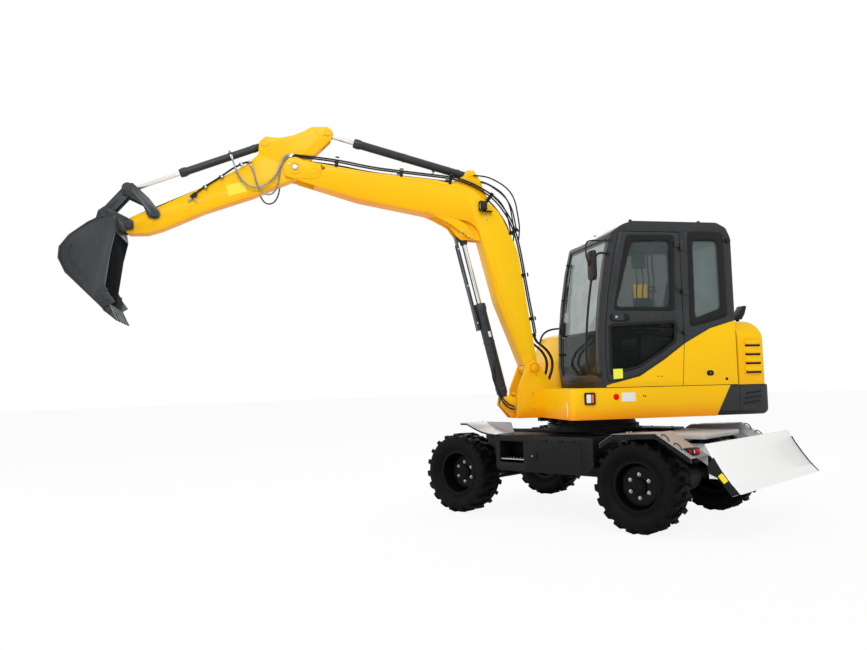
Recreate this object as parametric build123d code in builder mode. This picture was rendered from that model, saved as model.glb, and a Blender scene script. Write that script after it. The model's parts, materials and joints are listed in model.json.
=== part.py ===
"""Wheeled excavator: chassis on four wheels, slewing upper with cab, boom, arm, bucket and dozer blade.

Chassis frame: +X to the steered axle, +Y left, +Z up, origin on the ground under the slew axis, in mm.
The upper structure is drawn in its own frame, (u forward, v left, z up), which is slewed about Z.
"""
import os
from math import atan2, cos, degrees, hypot, radians, sin, tan

from build123d import *

os.makedirs("parts", exist_ok=True)

# running gear
front_axle_x = 1115
rear_axle_x = -965
front_disc = 777
rear_disc = 835
half_track = 788
tyre_radius = 410
tyre_width = 310
axle_height = tyre_radius
bead_radius = 212
lug_count = 19
lug_height = 26
lug_reach = 52
lug_width = 47
shoulder = 40
rim_wall = 8
rim_gap = 0.3
hub_radius = 65
hub_gap = 0.5
wheel_bolt_circle = 205
wheel_bolt_radius = 12
kingpin_offset = 700
knuckle_radius = 62
fork_half_height = 95
fork_wall = 22
tie_rod_setback = 105
tie_rod_drop = 62
tie_rod_radius = 16

# chassis
deck_z = 835
belly_z = 500
frame_half_width = 430
frame_half_length = 600
nose_half_width = 230
nose_length = 1260
side_box_depth = 485
side_box_y = 930
side_box_front = 560
side_box_rear = -475
side_box_bottom = 476
side_box_top = 825
ring_radius = 470
ring_top = 905
slew_gap = 0.3
fender_width = 330
fender_wall = 5
fender_lip = 42

# upper structure
slew_at_rest = 55.38
platform_bottom = 985
platform_top = 1275
half_width = 945
platform_front = 610
weight_front_top = -1017
weight_front_low = -857
tail_radius = 1700
hood_front = -1115
hood_top = 1897
hood_wall = 15
hood_round = 190
bracket_inner = 116
bracket_wall = 40
lug_wall = 26
pin_gap = 1.0
seat_gap = 0.3
bend_share = 0.45
hose_radius = 8

# cab
cab_right = -70
cab_wall = 42
floor_wall = 30
glass_wall = 6
door_gap = 6

# pins of the working gear, (u, z)
boom_foot = (683, 1489)
boom_ram_foot = (957, 1140)
boom_ram_eye = (1365, 2870)
arm_ram_foot = (1276, 3482)
arm_pivot = (3050, 3487)
arm_ram_eye = (2730, 3858)
bucket_ram_foot = (3337, 3731)
lever_pin = (4351, 3002)
lever_top = (4590, 3240)
bucket_pin = (4584, 2895)
link_pin = (4790, 3008)

boom_half_width = 105
fork_inner = 84
arm_half_width = 80
ear_inner = 86
ear_wall = 24
lever_wall = 20
bucket_half_width = 335
bucket_wall = 16

forward = Vector(cos(radians(slew_at_rest)), sin(radians(slew_at_rest)), 0)
leftward = Vector(-forward.Y, forward.X, 0)
upward = Vector(0, 0, 1)


def chassis_side(y):
    """Side view of the chassis: drawn in (x, z), extrudes towards -Y."""
    return Plane(origin=(0, y, 0), x_dir=(1, 0, 0), z_dir=(0, -1, 0))


def upper_side(v):
    """Side view of the upper: drawn in (u, z), extrudes towards the right."""
    return Plane(origin=leftward * v, x_dir=forward, z_dir=leftward * -1)


def upper_level(z):
    """Plan of the upper at height z: drawn in (u, v), extrudes upwards."""
    return Plane(origin=(0, 0, z), x_dir=forward, z_dir=(0, 0, 1))


def upper_front(u):
    """Front view of the upper: drawn in (v, z), extrudes forwards."""
    return Plane(origin=forward * u, x_dir=leftward, z_dir=forward)


def pair(inner, wall):
    """Where two walls start, one each side of the middle, when they extrude to the right."""
    return (inner + wall, -inner)


def write(piece, name):
    piece.part.label = name
    export_step(piece.part, f"parts/{name}.step")


def tube(points, radius):
    """A pipe or hose through points (u, v, z): straight runs joined by arcs as large as the runs allow."""
    places = [forward * u + leftward * v + upward * z for u, v, z in points]
    bends = []
    for before, corner, after in zip(places, places[1:], places[2:]):
        turn = radians((corner - before).get_angle(after - corner))
        shorter = min((corner - before).length, (after - corner).length)
        bends.append(bend_share * shorter / tan(turn / 2))
    with BuildPart() as run:
        with BuildLine() as route:
            FilletPolyline(*places, radius=bends)
        with BuildSketch(Plane(origin=route.line @ 0, z_dir=route.line % 0)):
            Circle(radius)
        sweep(path=route.line)
    return run.part


def outline_sketch(plane, points, grow=0.0, radius=0.0):
    """A closed outline of straight edges on a plane, grown outwards and rounded if asked."""
    with BuildSketch(plane) as face:
        with BuildLine():
            Polyline(*points, close=True)
        make_face()
        if grow:
            offset(amount=grow, kind=Kind.INTERSECTION)
        if radius:
            fillet(face.vertices(), radius=radius)
    return face.sketch


# ---- wheels: name, x of the axle, side, outer face of the disc
wheels = (
    ("front_left", front_axle_x, 1, front_disc),
    ("front_right", front_axle_x, -1, front_disc),
    ("rear_left", rear_axle_x, 1, rear_disc),
    ("rear_right", rear_axle_x, -1, rear_disc),
)
half_tyre = tyre_width / 2
bead_half = 98
flange_radius = bead_radius + 16
disc_wall = 12
nut_height = 16


def wheel_section(x):
    """Half section of a wheel, drawn in (y, radius) about the axle at x."""
    return Plane(origin=(x, 0, axle_height), x_dir=(0, 1, 0), z_dir=(1, 0, 0))


def wheel_axis(x):
    return Axis((x, 0, axle_height), (0, 1, 0))


def ring_section(section, y_low, y_high, r_low, r_high):
    """One rectangle of a turned profile."""
    with BuildSketch(section) as ring:
        with Locations(((y_low + y_high) / 2, (r_low + r_high) / 2)):
            Rectangle(y_high - y_low, r_high - r_low)
    return ring.sketch


carcass_radius = tyre_radius - lug_height
lug_pitch = 360 / lug_count
half_facet = tyre_radius * tan(radians(lug_pitch / 2))
lug_tip = (tyre_radius ** 2 - lug_reach ** 2) ** 0.5
# turns the edge of a lug to the ground
lug_stand = lug_pitch / 2 - degrees(atan2(lug_reach, lug_tip))
# half of the carcass section: distance from the middle, radius
carcass = (
    (bead_half, bead_radius),
    (bead_half, flange_radius + 8),
    (half_tyre, bead_radius + 88),
    (half_tyre, carcass_radius - 34),
    (half_tyre - shoulder, carcass_radius),
)
# a lug seen from outside: distance from the middle, forward of its own centre
lug_bend = 58
lug_outline = (
    (-10, lug_reach),
    (lug_bend, lug_reach),
    (half_tyre, lug_width - lug_reach),
    (half_tyre, -lug_reach),
    (lug_bend, lug_reach - lug_width),
    (-10, lug_reach - lug_width),
)


def turned(piece, x, turns):
    """Copies of a piece, turned about the axle at x by whole or half pitches."""
    return [piece.rotate(wheel_axis(x), (turn * lug_pitch) + lug_stand) for turn in turns]


for name, x, side, disc in wheels:
    middle = side * half_track
    with BuildPart() as wedge:
        left_half = [(middle - across, radius) for across, radius in carcass]
        right_half = [(middle + across, radius) for across, radius in reversed(carcass)]
        extrude(outline_sketch(wheel_section(x), left_half + right_half), amount=half_facet, both=True)
        facet = [(x, axle_height), (x + half_facet, axle_height + tyre_radius),
                 (x - half_facet, axle_height + tyre_radius)]
        extrude(outline_sketch(chassis_side(middle + half_tyre), facet), amount=tyre_width,
                mode=Mode.INTERSECT)
    pieces = turned(wedge.part, x, range(lug_count))
    for row, shift in ((1, 0), (-1, 0.5)):
        # two rows of swept lugs, half a pitch apart, that point forwards at the top
        tread = Plane(origin=(x, middle, axle_height + carcass_radius - shoulder), x_dir=(0, 1, 0),
                      z_dir=(0, 0, 1))
        with BuildPart() as lug:
            extrude(outline_sketch(tread, [(row * across, -ahead) for across, ahead in lug_outline]),
                    amount=lug_tip - carcass_radius + shoulder)
        pieces += turned(lug.part, x, [count + shift for count in range(lug_count)])
    with BuildPart() as tyre:
        add(pieces[0].fuse(*pieces[1:]).clean())
    write(tyre, f"tyre_{name}")

    with BuildPart() as rim:
        barrel_outer = bead_radius - rim_gap
        for y_low, y_high, r_low, r_high in (
            (middle - bead_half - 10, middle + bead_half + 10, barrel_outer - rim_wall, barrel_outer),
            (middle - bead_half - 10, middle - bead_half - rim_gap, barrel_outer - 1, flange_radius),
            (middle + bead_half + rim_gap, middle + bead_half + 10, barrel_outer - 1, flange_radius),
        ):
            add(ring_section(wheel_section(x), y_low, y_high, r_low, r_high))
            revolve(axis=wheel_axis(x))
        # the disc stands out to its bolting face on a short drum
        with BuildSketch(chassis_side(side * disc + (0 if side > 0 else disc_wall))):
            with Locations((x, axle_height)):
                Circle(barrel_outer - rim_wall + 1)
                Circle(hub_radius + hub_gap, mode=Mode.SUBTRACT)
        extrude(amount=disc_wall)
        if disc > half_track + bead_half:
            add(ring_section(wheel_section(x), *sorted((side * (half_track + bead_half), side * disc)),
                             barrel_outer - 2 * rim_wall, barrel_outer - rim_wall + 1))
            revolve(axis=wheel_axis(x))
        with BuildSketch(chassis_side(side * (disc - 1))):
            with Locations((x, axle_height)):
                with PolarLocations(wheel_bolt_circle / 2, 6):
                    RegularPolygon(wheel_bolt_radius, 6)
        extrude(amount=-side * (nut_height + 1))
    write(rim, f"rim_{name}")

# ---- axles and steering
fork_inner_height = fork_half_height - fork_wall
knuckle_height = fork_inner_height - 2
steer_arm_wall = 20
tie_rod_x = front_axle_x - tie_rod_setback
tie_rod_y = kingpin_offset - 30
arm_z = axle_height - tie_rod_drop
tie_rod_z = arm_z - steer_arm_wall / 2 - 0.3 - tie_rod_radius
kingpin_radius = 22

with BuildPart() as front_axle:
    with BuildSketch(wheel_section(front_axle_x)):
        with BuildLine():
            Polyline((-620, 0), (-620, 48), (-200, 58), (-110, 112), (110, 112), (200, 58), (620, 48), (620, 0),
                     close=True)
        make_face()
    revolve(axis=wheel_axis(front_axle_x))
    for side in (1, -1):
        for z in (axle_height + fork_inner_height, axle_height - fork_half_height):
            with BuildSketch(Plane.XY.offset(z)):
                with Locations((front_axle_x, side * kingpin_offset)):
                    Circle(46)
                with Locations((front_axle_x, side * (kingpin_offset - 50))):
                    Rectangle(80, 100)
            extrude(amount=fork_wall)
        with BuildSketch(Plane.XY.offset(axle_height - fork_half_height)):
            with Locations((front_axle_x, side * (kingpin_offset - 90))):
                Rectangle(80, 40)
        extrude(amount=2 * fork_half_height)
        with BuildSketch(Plane.XY.offset(axle_height - fork_half_height)):
            with Locations((front_axle_x, side * kingpin_offset)):
                Circle(kingpin_radius)
        extrude(amount=2 * fork_half_height)
write(front_axle, "front_axle")

for name, side, disc in (("left", 1, front_disc), ("right", -1, front_disc)):
    with BuildPart() as knuckle:
        with BuildSketch(Plane.XY.offset(axle_height - knuckle_height)):
            with Locations((front_axle_x, side * kingpin_offset)):
                Circle(knuckle_radius)
        extrude(amount=2 * knuckle_height)
        for y_from, y_to, radius in (
            (kingpin_offset + 54, disc - disc_wall - 4, 88),
            (kingpin_offset, disc + 18, hub_radius),
        ):
            add(ring_section(wheel_section(front_axle_x), *sorted((side * y_from, side * y_to)), 0, radius))
            revolve(axis=wheel_axis(front_axle_x))
        with BuildSketch(Plane.XY.offset(arm_z - steer_arm_wall / 2)):
            with BuildLine():
                Polyline(
                    (front_axle_x, side * (kingpin_offset + 30)),
                    (tie_rod_x - 10, side * (tie_rod_y + 18)),
                    (tie_rod_x - 22, side * tie_rod_y),
                    (tie_rod_x - 10, side * (tie_rod_y - 18)),
                    (front_axle_x, side * (kingpin_offset - 30)),
                    close=True,
                )
            make_face()
        extrude(amount=steer_arm_wall)
        with BuildSketch(Plane.XY.offset(axle_height - knuckle_height - 60)):
            with Locations((front_axle_x, side * kingpin_offset)):
                Circle(kingpin_radius + rim_gap)
        extrude(amount=2 * knuckle_height + 120, mode=Mode.SUBTRACT)
    write(knuckle, f"knuckle_{name}")

with BuildPart() as tie_rod:
    with BuildSketch(Plane.XZ.offset(-tie_rod_y)):
        with Locations((tie_rod_x, tie_rod_z)):
            Circle(tie_rod_radius)
    extrude(amount=2 * tie_rod_y)
    with BuildSketch(Plane.XY.offset(tie_rod_z - tie_rod_radius)):
        with Locations((tie_rod_x, tie_rod_y), (tie_rod_x, -tie_rod_y)):
            Circle(tie_rod_radius + 8)
    extrude(amount=2 * tie_rod_radius)
write(tie_rod, "tie_rod")

with BuildPart() as rear_axle:
    with BuildSketch(wheel_section(rear_axle_x)):
        with BuildLine():
            Polyline(
                (-rear_disc - 18, 0), (-rear_disc - 18, hub_radius), (-rear_disc + disc_wall + 4, hub_radius),
                (-rear_disc + disc_wall + 4, 95), (-720, 95), (-700, 62), (-200, 66), (-110, 135),
                (110, 135), (200, 66), (700, 62), (720, 95), (rear_disc - disc_wall - 4, 95),
                (rear_disc - disc_wall - 4, hub_radius), (rear_disc + 18, hub_radius), (rear_disc + 18, 0),
                close=True,
            )
        make_face()
    revolve(axis=wheel_axis(rear_axle_x))
write(rear_axle, "rear_axle")

# ---- chassis
nose_belly = 565
nose_top = 800
blade_pivot = (-680, 720)
blade_arm_inner = 262
blade_arm_wall = 40
blade_ram_foot = (-1292, 742)
blade_ram_eye = (-1640, 640)

with BuildPart() as chassis_frame:
    with BuildSketch(Plane.XY.offset(belly_z)):
        Rectangle(2 * frame_half_length, 2 * frame_half_width)
    extrude(amount=deck_z - belly_z)
    with BuildSketch(chassis_side(nose_half_width)):
        with BuildLine():
            Polyline(
                (-nose_length, nose_top), (-nose_length, nose_belly + 60), (-nose_length + 80, nose_belly),
                (nose_length - 80, nose_belly), (nose_length, nose_belly + 60), (nose_length, nose_top),
                close=True,
            )
        make_face()
    extrude(amount=2 * nose_half_width)
    # blocks that carry the axles
    for x, y, base in ((front_axle_x, 214, axle_height + 61), (rear_axle_x, 214, axle_height + 66)):
        with BuildSketch(Plane.XY.offset(base + seat_gap)):
            with Locations((x, y), (x, -y)):
                Rectangle(110, 28)
        extrude(amount=nose_belly - base + 5)
    for side in (1, -1):
        # blade pivot brackets on the rear of the centre box
        for y in pair(blade_arm_inner - 2 - 22, 22) if side > 0 else pair(blade_arm_inner + blade_arm_wall + 2, 22):
            with BuildSketch(chassis_side(y)):
                with BuildLine():
                    Polyline((-frame_half_length + 2, 790), (-frame_half_length + 2, 650), (-640, 640),
                             (blade_pivot[0] - 20, 680), (blade_pivot[0] - 42, 720),
                             (blade_pivot[0] - 20, 765), close=True)
                make_face()
            extrude(amount=22)
    for y in pair(blade_arm_inner - 22, blade_arm_wall + 44):
        with BuildSketch(chassis_side(y)):
            with Locations(blade_pivot):
                Circle(20)
        extrude(amount=blade_arm_wall + 44)
    # lugs of the blade cylinder
    for y in pair(34, 18):
        with BuildSketch(chassis_side(y)):
            with BuildLine():
                Polyline((-nose_length + 4, 798), (-nose_length + 4, 690), (blade_ram_foot[0] - 26, 716),
                         (blade_ram_foot[0] - 26, 768), close=True)
            make_face()
        extrude(amount=18)
    with BuildSketch(chassis_side(50)):
        with Locations(blade_ram_foot):
            Circle(15)
    extrude(amount=100)
write(chassis_frame, "chassis_frame")

gearbox_x = 40
gearbox_half = 180
gearbox_drop = 50
shaft_radius = 32
with BuildPart() as driveline:
    with BuildSketch(Plane.XY.offset(axle_height - gearbox_drop)):
        with Locations((gearbox_x, 0)):
            Rectangle(2 * gearbox_half, 240)
    extrude(amount=belly_z - axle_height + gearbox_drop - seat_gap)
    # shafts from the gearbox to the noses of both axles
    for start, end in ((gearbox_x + gearbox_half - 1, front_axle_x - 112 - seat_gap),
                       (gearbox_x - gearbox_half + 1, rear_axle_x + 135 + seat_gap)):
        with BuildSketch(wheel_section(start)):
            Circle(shaft_radius)
        extrude(amount=end - start)
write(driveline, "driveline")

step_x = 365
step_length = 290
step_depth = 230
step_z = 592
with BuildPart() as side_boxes:
    for side in (1, -1):
        outer = side * side_box_y
        inner = side * (frame_half_width + seat_gap)
        with BuildSketch(chassis_side(max(outer, inner))):
            with BuildLine():
                FilletPolyline(
                    (side_box_front, side_box_top), (side_box_front, side_box_bottom),
                    (side_box_rear, side_box_bottom), (side_box_rear - 90, side_box_bottom + 85),
                    (side_box_rear - 90, side_box_top), radius=(40, 20, 20), close=False,
                )
                Line((side_box_rear - 90, side_box_top), (side_box_front, side_box_top))
            make_face()
        extrude(amount=abs(outer - inner))
        with BuildSketch(chassis_side(outer + (1 if side > 0 else step_depth))):
            with Locations((step_x, 662)):
                RectangleRounded(step_length, 210, 18)
        extrude(amount=step_depth + 1, mode=Mode.SUBTRACT)
        with BuildSketch(Plane.XY.offset(step_z - 6)):
            with Locations((step_x, side * (side_box_y - step_depth / 2 - 12))):
                Rectangle(step_length + 2, step_depth - 22)
        extrude(amount=6)
        with BuildSketch(chassis_side(outer + (4 if side > 0 else 1))):
            with Locations((-123, 630)):
                RectangleRounded(634, 306, 6)
        extrude(amount=5)
write(side_boxes, "side_boxes")

with BuildPart() as slew_ring:
    with BuildSketch(Plane.XY.offset(deck_z)):
        Circle(ring_radius)
        Circle(ring_radius - 120, mode=Mode.SUBTRACT)
    extrude(amount=ring_top - deck_z)
    with BuildSketch(Plane.XY.offset(deck_z)):
        Circle(ring_radius + 30)
        Circle(ring_radius - 120, mode=Mode.SUBTRACT)
    extrude(amount=22)
    with BuildSketch(Plane.XY.offset(deck_z + 22)):
        with PolarLocations(ring_radius + 14, 24):
            Circle(9)
    extrude(amount=10)
write(slew_ring, "slew_ring")


def fender(side, outline, outer_lip, inner_lip):
    """A folded sheet over a tyre: its top follows the outline, with a lip down each side."""
    y_outer = half_width
    outer_y = side * y_outer
    start = outer_y if side > 0 else outer_y + fender_width
    lower = [(x, z - fender_wall) for x, z in reversed(outline)]
    with BuildSketch(chassis_side(start)) as top:
        with BuildLine():
            Polyline(*outline, *lower, close=True)
        make_face()
    extrude(top.sketch, amount=fender_width)
    for y, lip in ((outer_y, outer_lip), (outer_y - side * (fender_width - fender_wall), inner_lip)):
        drop = [(x, z - lip) for x, z in reversed(outline)]
        with BuildSketch(chassis_side(y if side > 0 else y + fender_wall)) as wall:
            with BuildLine():
                Polyline(*outline, *drop, close=True)
            make_face()
        extrude(wall.sketch, amount=fender_wall)


rear_fender_line = ((-640, 778), (-775, 865), (-1190, 882), (-1500, 687))
with BuildPart() as rear_fenders:
    for side in (1, -1):
        fender(side, rear_fender_line, fender_lip, 90)
        for x in (-790, -1170):
            y_low = nose_half_width + seat_gap
            y_high = half_width - fender_width + 1
            with BuildSketch(Plane.XY.offset(nose_top - 22)):
                with Locations((x, side * (y_low + y_high) / 2)):
                    Rectangle(50, y_high - y_low)
            extrude(amount=16)
write(rear_fenders, "rear_fenders")

front_fender_line = ((1018, 934), (930, 934), (840, 895), (740, 858), (640, 838), (540, 830.5))
with BuildPart() as front_fenders:
    for side in (1, -1):
        fender(side, front_fender_line, fender_wall, fender_wall)
        wall_y = side * (half_width - fender_width + (fender_wall if side > 0 else 0))
        with BuildSketch(chassis_side(wall_y)):
            with BuildLine():
                Polyline((1010, 934), (930, 930), (840, 890), (740, 853), (640, 833), (560, 829), (600, 934),
                         close=True)
            make_face()
        extrude(amount=fender_wall)
write(front_fenders, "front_fenders")

with BuildPart() as rear_cover:
    with BuildSketch(Plane.XY.offset(nose_top + seat_gap)):
        with Locations((-1130, 0)):
            Rectangle(500, 2 * 400)
    extrude(amount=46)
    fillet(rear_cover.edges().filter_by(Axis.Z), radius=30)
write(rear_cover, "rear_cover")

def slope_z(x):
    """Height of the rear fender's falling top at x."""
    (x_high, z_high), (x_low, z_low) = rear_fender_line[2:]
    return z_high + (x - x_high) * (z_low - z_high) / (x_low - x_high)


with BuildPart() as tail_lamps:
    for side in (1, -1):
        with BuildSketch(chassis_side(side * 800 + 65)):
            with BuildLine():
                Polyline(
                    (-1395, slope_z(-1395) + seat_gap), (-1478, slope_z(-1478) + seat_gap),
                    (-1484, slope_z(-1478) + 50), (-1448, slope_z(-1478) + 62), close=True,
                )
            make_face()
        extrude(amount=130)
write(tail_lamps, "tail_lamps")

# ---- dozer blade
blade_line = ((-1640, 809), (-1698, 700), (-1762, 600), (-1832, 505), (-1905, 425))
blade_wall = 15
with BuildPart() as blade:
    with BuildSketch(chassis_side(half_width)):
        with BuildLine():
            Polyline(*blade_line, *[(x + 1.25 * blade_wall, z) for x, z in reversed(blade_line)], close=True)
        make_face()
    extrude(amount=2 * half_width)
    for y in (half_width - 2, -half_width + 14):
        with BuildSketch(chassis_side(y)):
            with BuildLine():
                Polyline((-1694, 706), (-1645, 650), (-1640, 575), (-1712, 545), (-1830, 402), (-1893, 425),
                         (-1826, 505), (-1756, 600), close=True)
            make_face()
        extrude(amount=12)
    # beam across the back
    with BuildSketch(chassis_side(half_width - 20)):
        with BuildLine():
            Polyline((-1640, 610), (-1640, 530), (-1800, 530), (-1740, 610), close=True)
        make_face()
    extrude(amount=2 * half_width - 40)
    for y in pair(blade_arm_inner, blade_arm_wall):
        with BuildSketch(chassis_side(y)):
            with BuildLine():
                FilletPolyline((-680, 752), (-1380, 752), (-1650, 612), (-1650, 530), (-1600, 530), (-1340, 668),
                               (-680, 688), radius=25, close=False)
                Line((-680, 688), (-680, 752))
            make_face()
            with Locations(blade_pivot):
                Circle(34)
        extrude(amount=blade_arm_wall)
    for y in pair(blade_arm_inner - 10, blade_arm_wall + 20):
        with BuildSketch(chassis_side(y)):
            with Locations(blade_pivot):
                Circle(20 + rim_gap)
        extrude(amount=blade_arm_wall + 20, mode=Mode.SUBTRACT)
    for y in pair(34, 18):
        with BuildSketch(chassis_side(y)):
            with BuildLine():
                Polyline((-1655, 606), (-1655, 540), (blade_ram_eye[0] + 10, 606),
                         (blade_ram_eye[0] + 30, blade_ram_eye[1] + 4), (blade_ram_eye[0] + 4, 672),
                         (-1690, 672), (-1735, 606), close=True)
            make_face()
        extrude(amount=18)
write(blade, "blade")


def ram_plane(foot, eye, along, on_upper=True):
    """Plane across a cylinder's axis, at a distance along it from its foot pin."""
    reach = hypot(eye[0] - foot[0], eye[1] - foot[1])
    du, dz = (eye[0] - foot[0]) / reach, (eye[1] - foot[1]) / reach
    ahead = forward if on_upper else Vector(1, 0, 0)
    across = leftward if on_upper else Vector(0, 1, 0)
    axis = ahead * du + upward * dz
    start = ahead * foot[0] + upward * foot[1] + axis * along
    return Plane(origin=start, x_dir=across, z_dir=axis)


def ram(foot, eye, barrel_length, barrel_radius, rod_radius, rod_length, eye_half, on_upper=True):
    """A hydraulic cylinder: the barrel turns on its foot pin, and the rod slides in it."""
    side_plane = upper_side if on_upper else chassis_side
    reach = hypot(eye[0] - foot[0], eye[1] - foot[1])
    with BuildPart() as barrel:
        neck = 1.7 * barrel_radius
        with BuildSketch(ram_plane(foot, eye, neck, on_upper)):
            Circle(barrel_radius)
        extrude(amount=barrel_length - neck)
        with BuildSketch(ram_plane(foot, eye, 0, on_upper)):
            Rectangle(2 * eye_half, 1.3 * barrel_radius)
        extrude(amount=neck + 5)
        with BuildSketch(ram_plane(foot, eye, barrel_length - 70, on_upper)):
            Circle(barrel_radius + 5)
        extrude(amount=60)
        with BuildSketch(ram_plane(foot, eye, min(neck, reach - rod_length) - 10, on_upper)):
            Circle(rod_radius + rim_gap)
        extrude(amount=barrel_length, mode=Mode.SUBTRACT)
        with BuildSketch(side_plane(eye_half)):
            with Locations(foot):
                Circle(barrel_radius * 0.85)
        extrude(amount=2 * eye_half)
        with BuildSketch(side_plane(eye_half + 5)):
            with Locations(foot):
                Circle(ram_pin_radius + rim_gap)
        extrude(amount=2 * eye_half + 10, mode=Mode.SUBTRACT)
    with BuildPart() as rod:
        with BuildSketch(ram_plane(foot, eye, reach - rod_length, on_upper)):
            Circle(rod_radius)
        extrude(amount=rod_length - 4)
        with BuildSketch(side_plane(eye_half)):
            with Locations(eye):
                Circle(rod_radius * 1.65)
        extrude(amount=2 * eye_half)
    return barrel, rod


ram_pin_radius = 15
blade_barrel, blade_rod = ram(blade_ram_foot, blade_ram_eye, 290, 34, 18, 300, 32, on_upper=False)
write(blade_barrel, "blade_cylinder_barrel")
write(blade_rod, "blade_cylinder_rod")

# ---- platform
def behind_slant(gap):
    """Side outline of all that lies behind the slanted end of the platform."""
    rise = platform_top - platform_bottom
    slope = (weight_front_top - weight_front_low) / rise
    return (
        (weight_front_low - slope - gap, platform_bottom - 1),
        (weight_front_top + slope - gap, platform_top + 1),
        (-tail_radius - 1, platform_top + 1),
        (-tail_radius - 1, platform_bottom - 1),
    )


with BuildPart() as platform:
    with BuildSketch(upper_level(platform_bottom)):
        with BuildLine():
            FilletPolyline(
                (weight_front_top, -half_width), (platform_front, -half_width), (platform_front, half_width),
                (weight_front_top, half_width), radius=60,
            )
            Line((weight_front_top, half_width), (weight_front_top, -half_width))
        make_face()
    extrude(amount=platform_top - platform_bottom)
    # slanted rear end, which the counterweight continues
    extrude(outline_sketch(upper_side(half_width + 1), behind_slant(0)), amount=2 * half_width + 2,
            mode=Mode.SUBTRACT)
    with BuildSketch(Plane.XY.offset(ring_top + slew_gap)):
        Circle(ring_radius - 40)
    extrude(amount=platform_bottom - ring_top - slew_gap + 1)
    # boom bracket: two cheeks and a nose between them
    for v in pair(bracket_inner, bracket_wall):
        with BuildSketch(upper_side(v)):
            with BuildLine():
                FilletPolyline(
                    (380, 1270), (479, 1314), (560, 1412), (628, 1530), (683, 1572), (752, 1530), (856, 1277),
                    (878, 985), (500, 985), radius=12, close=False,
                )
                Line((500, 985), (380, 1270))
            make_face()
        extrude(amount=bracket_wall)
    with BuildSketch(upper_side(bracket_inner + 1)):
        with BuildLine():
            Polyline((600, 985), (840, 985), (850, 1180), (600, 1290), close=True)
        make_face()
    extrude(amount=2 * bracket_inner + 2)
    for v in pair(48, lug_wall):
        with BuildSketch(upper_side(v)):
            with BuildLine():
                FilletPolyline((840, 985), (905, 985), (1020, 1120), (1005, 1190), (940, 1215), (840, 1175),
                               radius=12, close=False)
                Line((840, 1175), (840, 985))
            make_face()
        extrude(amount=lug_wall)
    for v_half, pin in ((bracket_inner + bracket_wall + 12, boom_foot), (48 + lug_wall + 8, boom_ram_foot)):
        radius = 35 if pin is boom_foot else ram_pin_radius
        with BuildSketch(upper_side(v_half)):
            with Locations(pin):
                Circle(radius)
        extrude(amount=2 * v_half)
write(platform, "platform")


def tail_outline(front, radius, half):
    """Plan of the tail: straight front and sides, and an arc about the slew axis behind."""
    rear = -(radius ** 2 - half ** 2) ** 0.5
    with BuildLine() as outline:
        Polyline((rear, -half), (front, -half), (front, half), (rear, half))
        ThreePointArc((rear, half), (-radius, 0), (rear, -half))
    return outline.line


with BuildPart() as counterweight:
    with BuildSketch(upper_level(platform_bottom)):
        with BuildLine():
            add(tail_outline(weight_front_low, tail_radius, half_width))
        make_face()
    extrude(amount=platform_top - platform_bottom)
    extrude(outline_sketch(upper_side(half_width + 1), behind_slant(seat_gap)), amount=2 * half_width + 2,
            mode=Mode.INTERSECT)
    fillet(counterweight.edges().filter_by(Axis.Z).sort_by_distance(leftward * -half_width + forward * -1413)[0],
           radius=60)
    fillet(counterweight.edges().filter_by(Axis.Z).sort_by_distance(leftward * half_width + forward * -1413)[0],
           radius=60)
write(counterweight, "counterweight")

hood_base = platform_top + seat_gap
def hood_form(inset):
    """The hood as a solid, its top rounded on all sides but the front."""
    with BuildPart() as form:
        with BuildSketch(upper_level(hood_base)):
            with BuildLine():
                add(tail_outline(hood_front - inset, tail_radius - 22 - inset, half_width - inset))
            make_face()
        extrude(amount=hood_top - inset - hood_base)
        uprights = form.edges().filter_by(Axis.Z).sort_by(Axis(origin=(0, 0, 0), direction=forward))
        fillet(uprights[:2], radius=50 - inset)
        rim = form.faces().sort_by(Axis.Z)[-1].edges()
        front = rim.sort_by(Axis(origin=(0, 0, 0), direction=forward))[-1]
        fillet([edge for edge in rim if edge != front], radius=hood_round - inset)
    return form.part


with BuildPart() as rear_hood:
    add(hood_form(0))
    add(hood_form(hood_wall), mode=Mode.SUBTRACT)
    # air louvres in a raised frame on the left
    louvre_u = hood_front - 150
    louvre_z = 1515
    with BuildSketch(upper_side(half_width + 4)):
        with Locations((louvre_u, louvre_z)):
            RectangleRounded(190, 310, 12)
            RectangleRounded(172, 292, 6, mode=Mode.SUBTRACT)
    extrude(amount=5)
    for rise in (-96, -32, 32, 96):
        with BuildSketch(upper_side(half_width + 1)):
            with Locations((louvre_u, louvre_z + rise)):
                Rectangle(150, 34)
        extrude(amount=hood_wall + 2, mode=Mode.SUBTRACT)
        z = louvre_z + rise
        blade_outline = [(half_width - 8, z + 19), (half_width + 10, z - 10), (half_width + 10, z - 15),
                         (half_width - 8, z + 14)]
        extrude(outline_sketch(upper_front(louvre_u - 76), blade_outline), amount=152)
write(rear_hood, "rear_hood")

with BuildPart() as engine_block:
    with BuildSketch(upper_level(hood_base)):
        with Locations((-1350, 0)):
            Rectangle(380, 900)
    extrude(amount=430)
write(engine_block, "engine_block")

cover_left = cab_right - 12
with BuildPart() as right_cover:
    with BuildSketch(upper_side(cover_left)):
        with BuildLine():
            FilletPolyline((hood_front + 3, hood_top - 20), (hood_front + 3, hood_base), (330, hood_base),
                           (330, 1560), (200, hood_top - 60), (60, hood_top - 20), radius=30, close=False)
            Line((60, hood_top - 20), (hood_front + 3, hood_top - 20))
        make_face()
    extrude(amount=half_width + cover_left)
write(right_cover, "right_cover")

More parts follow.
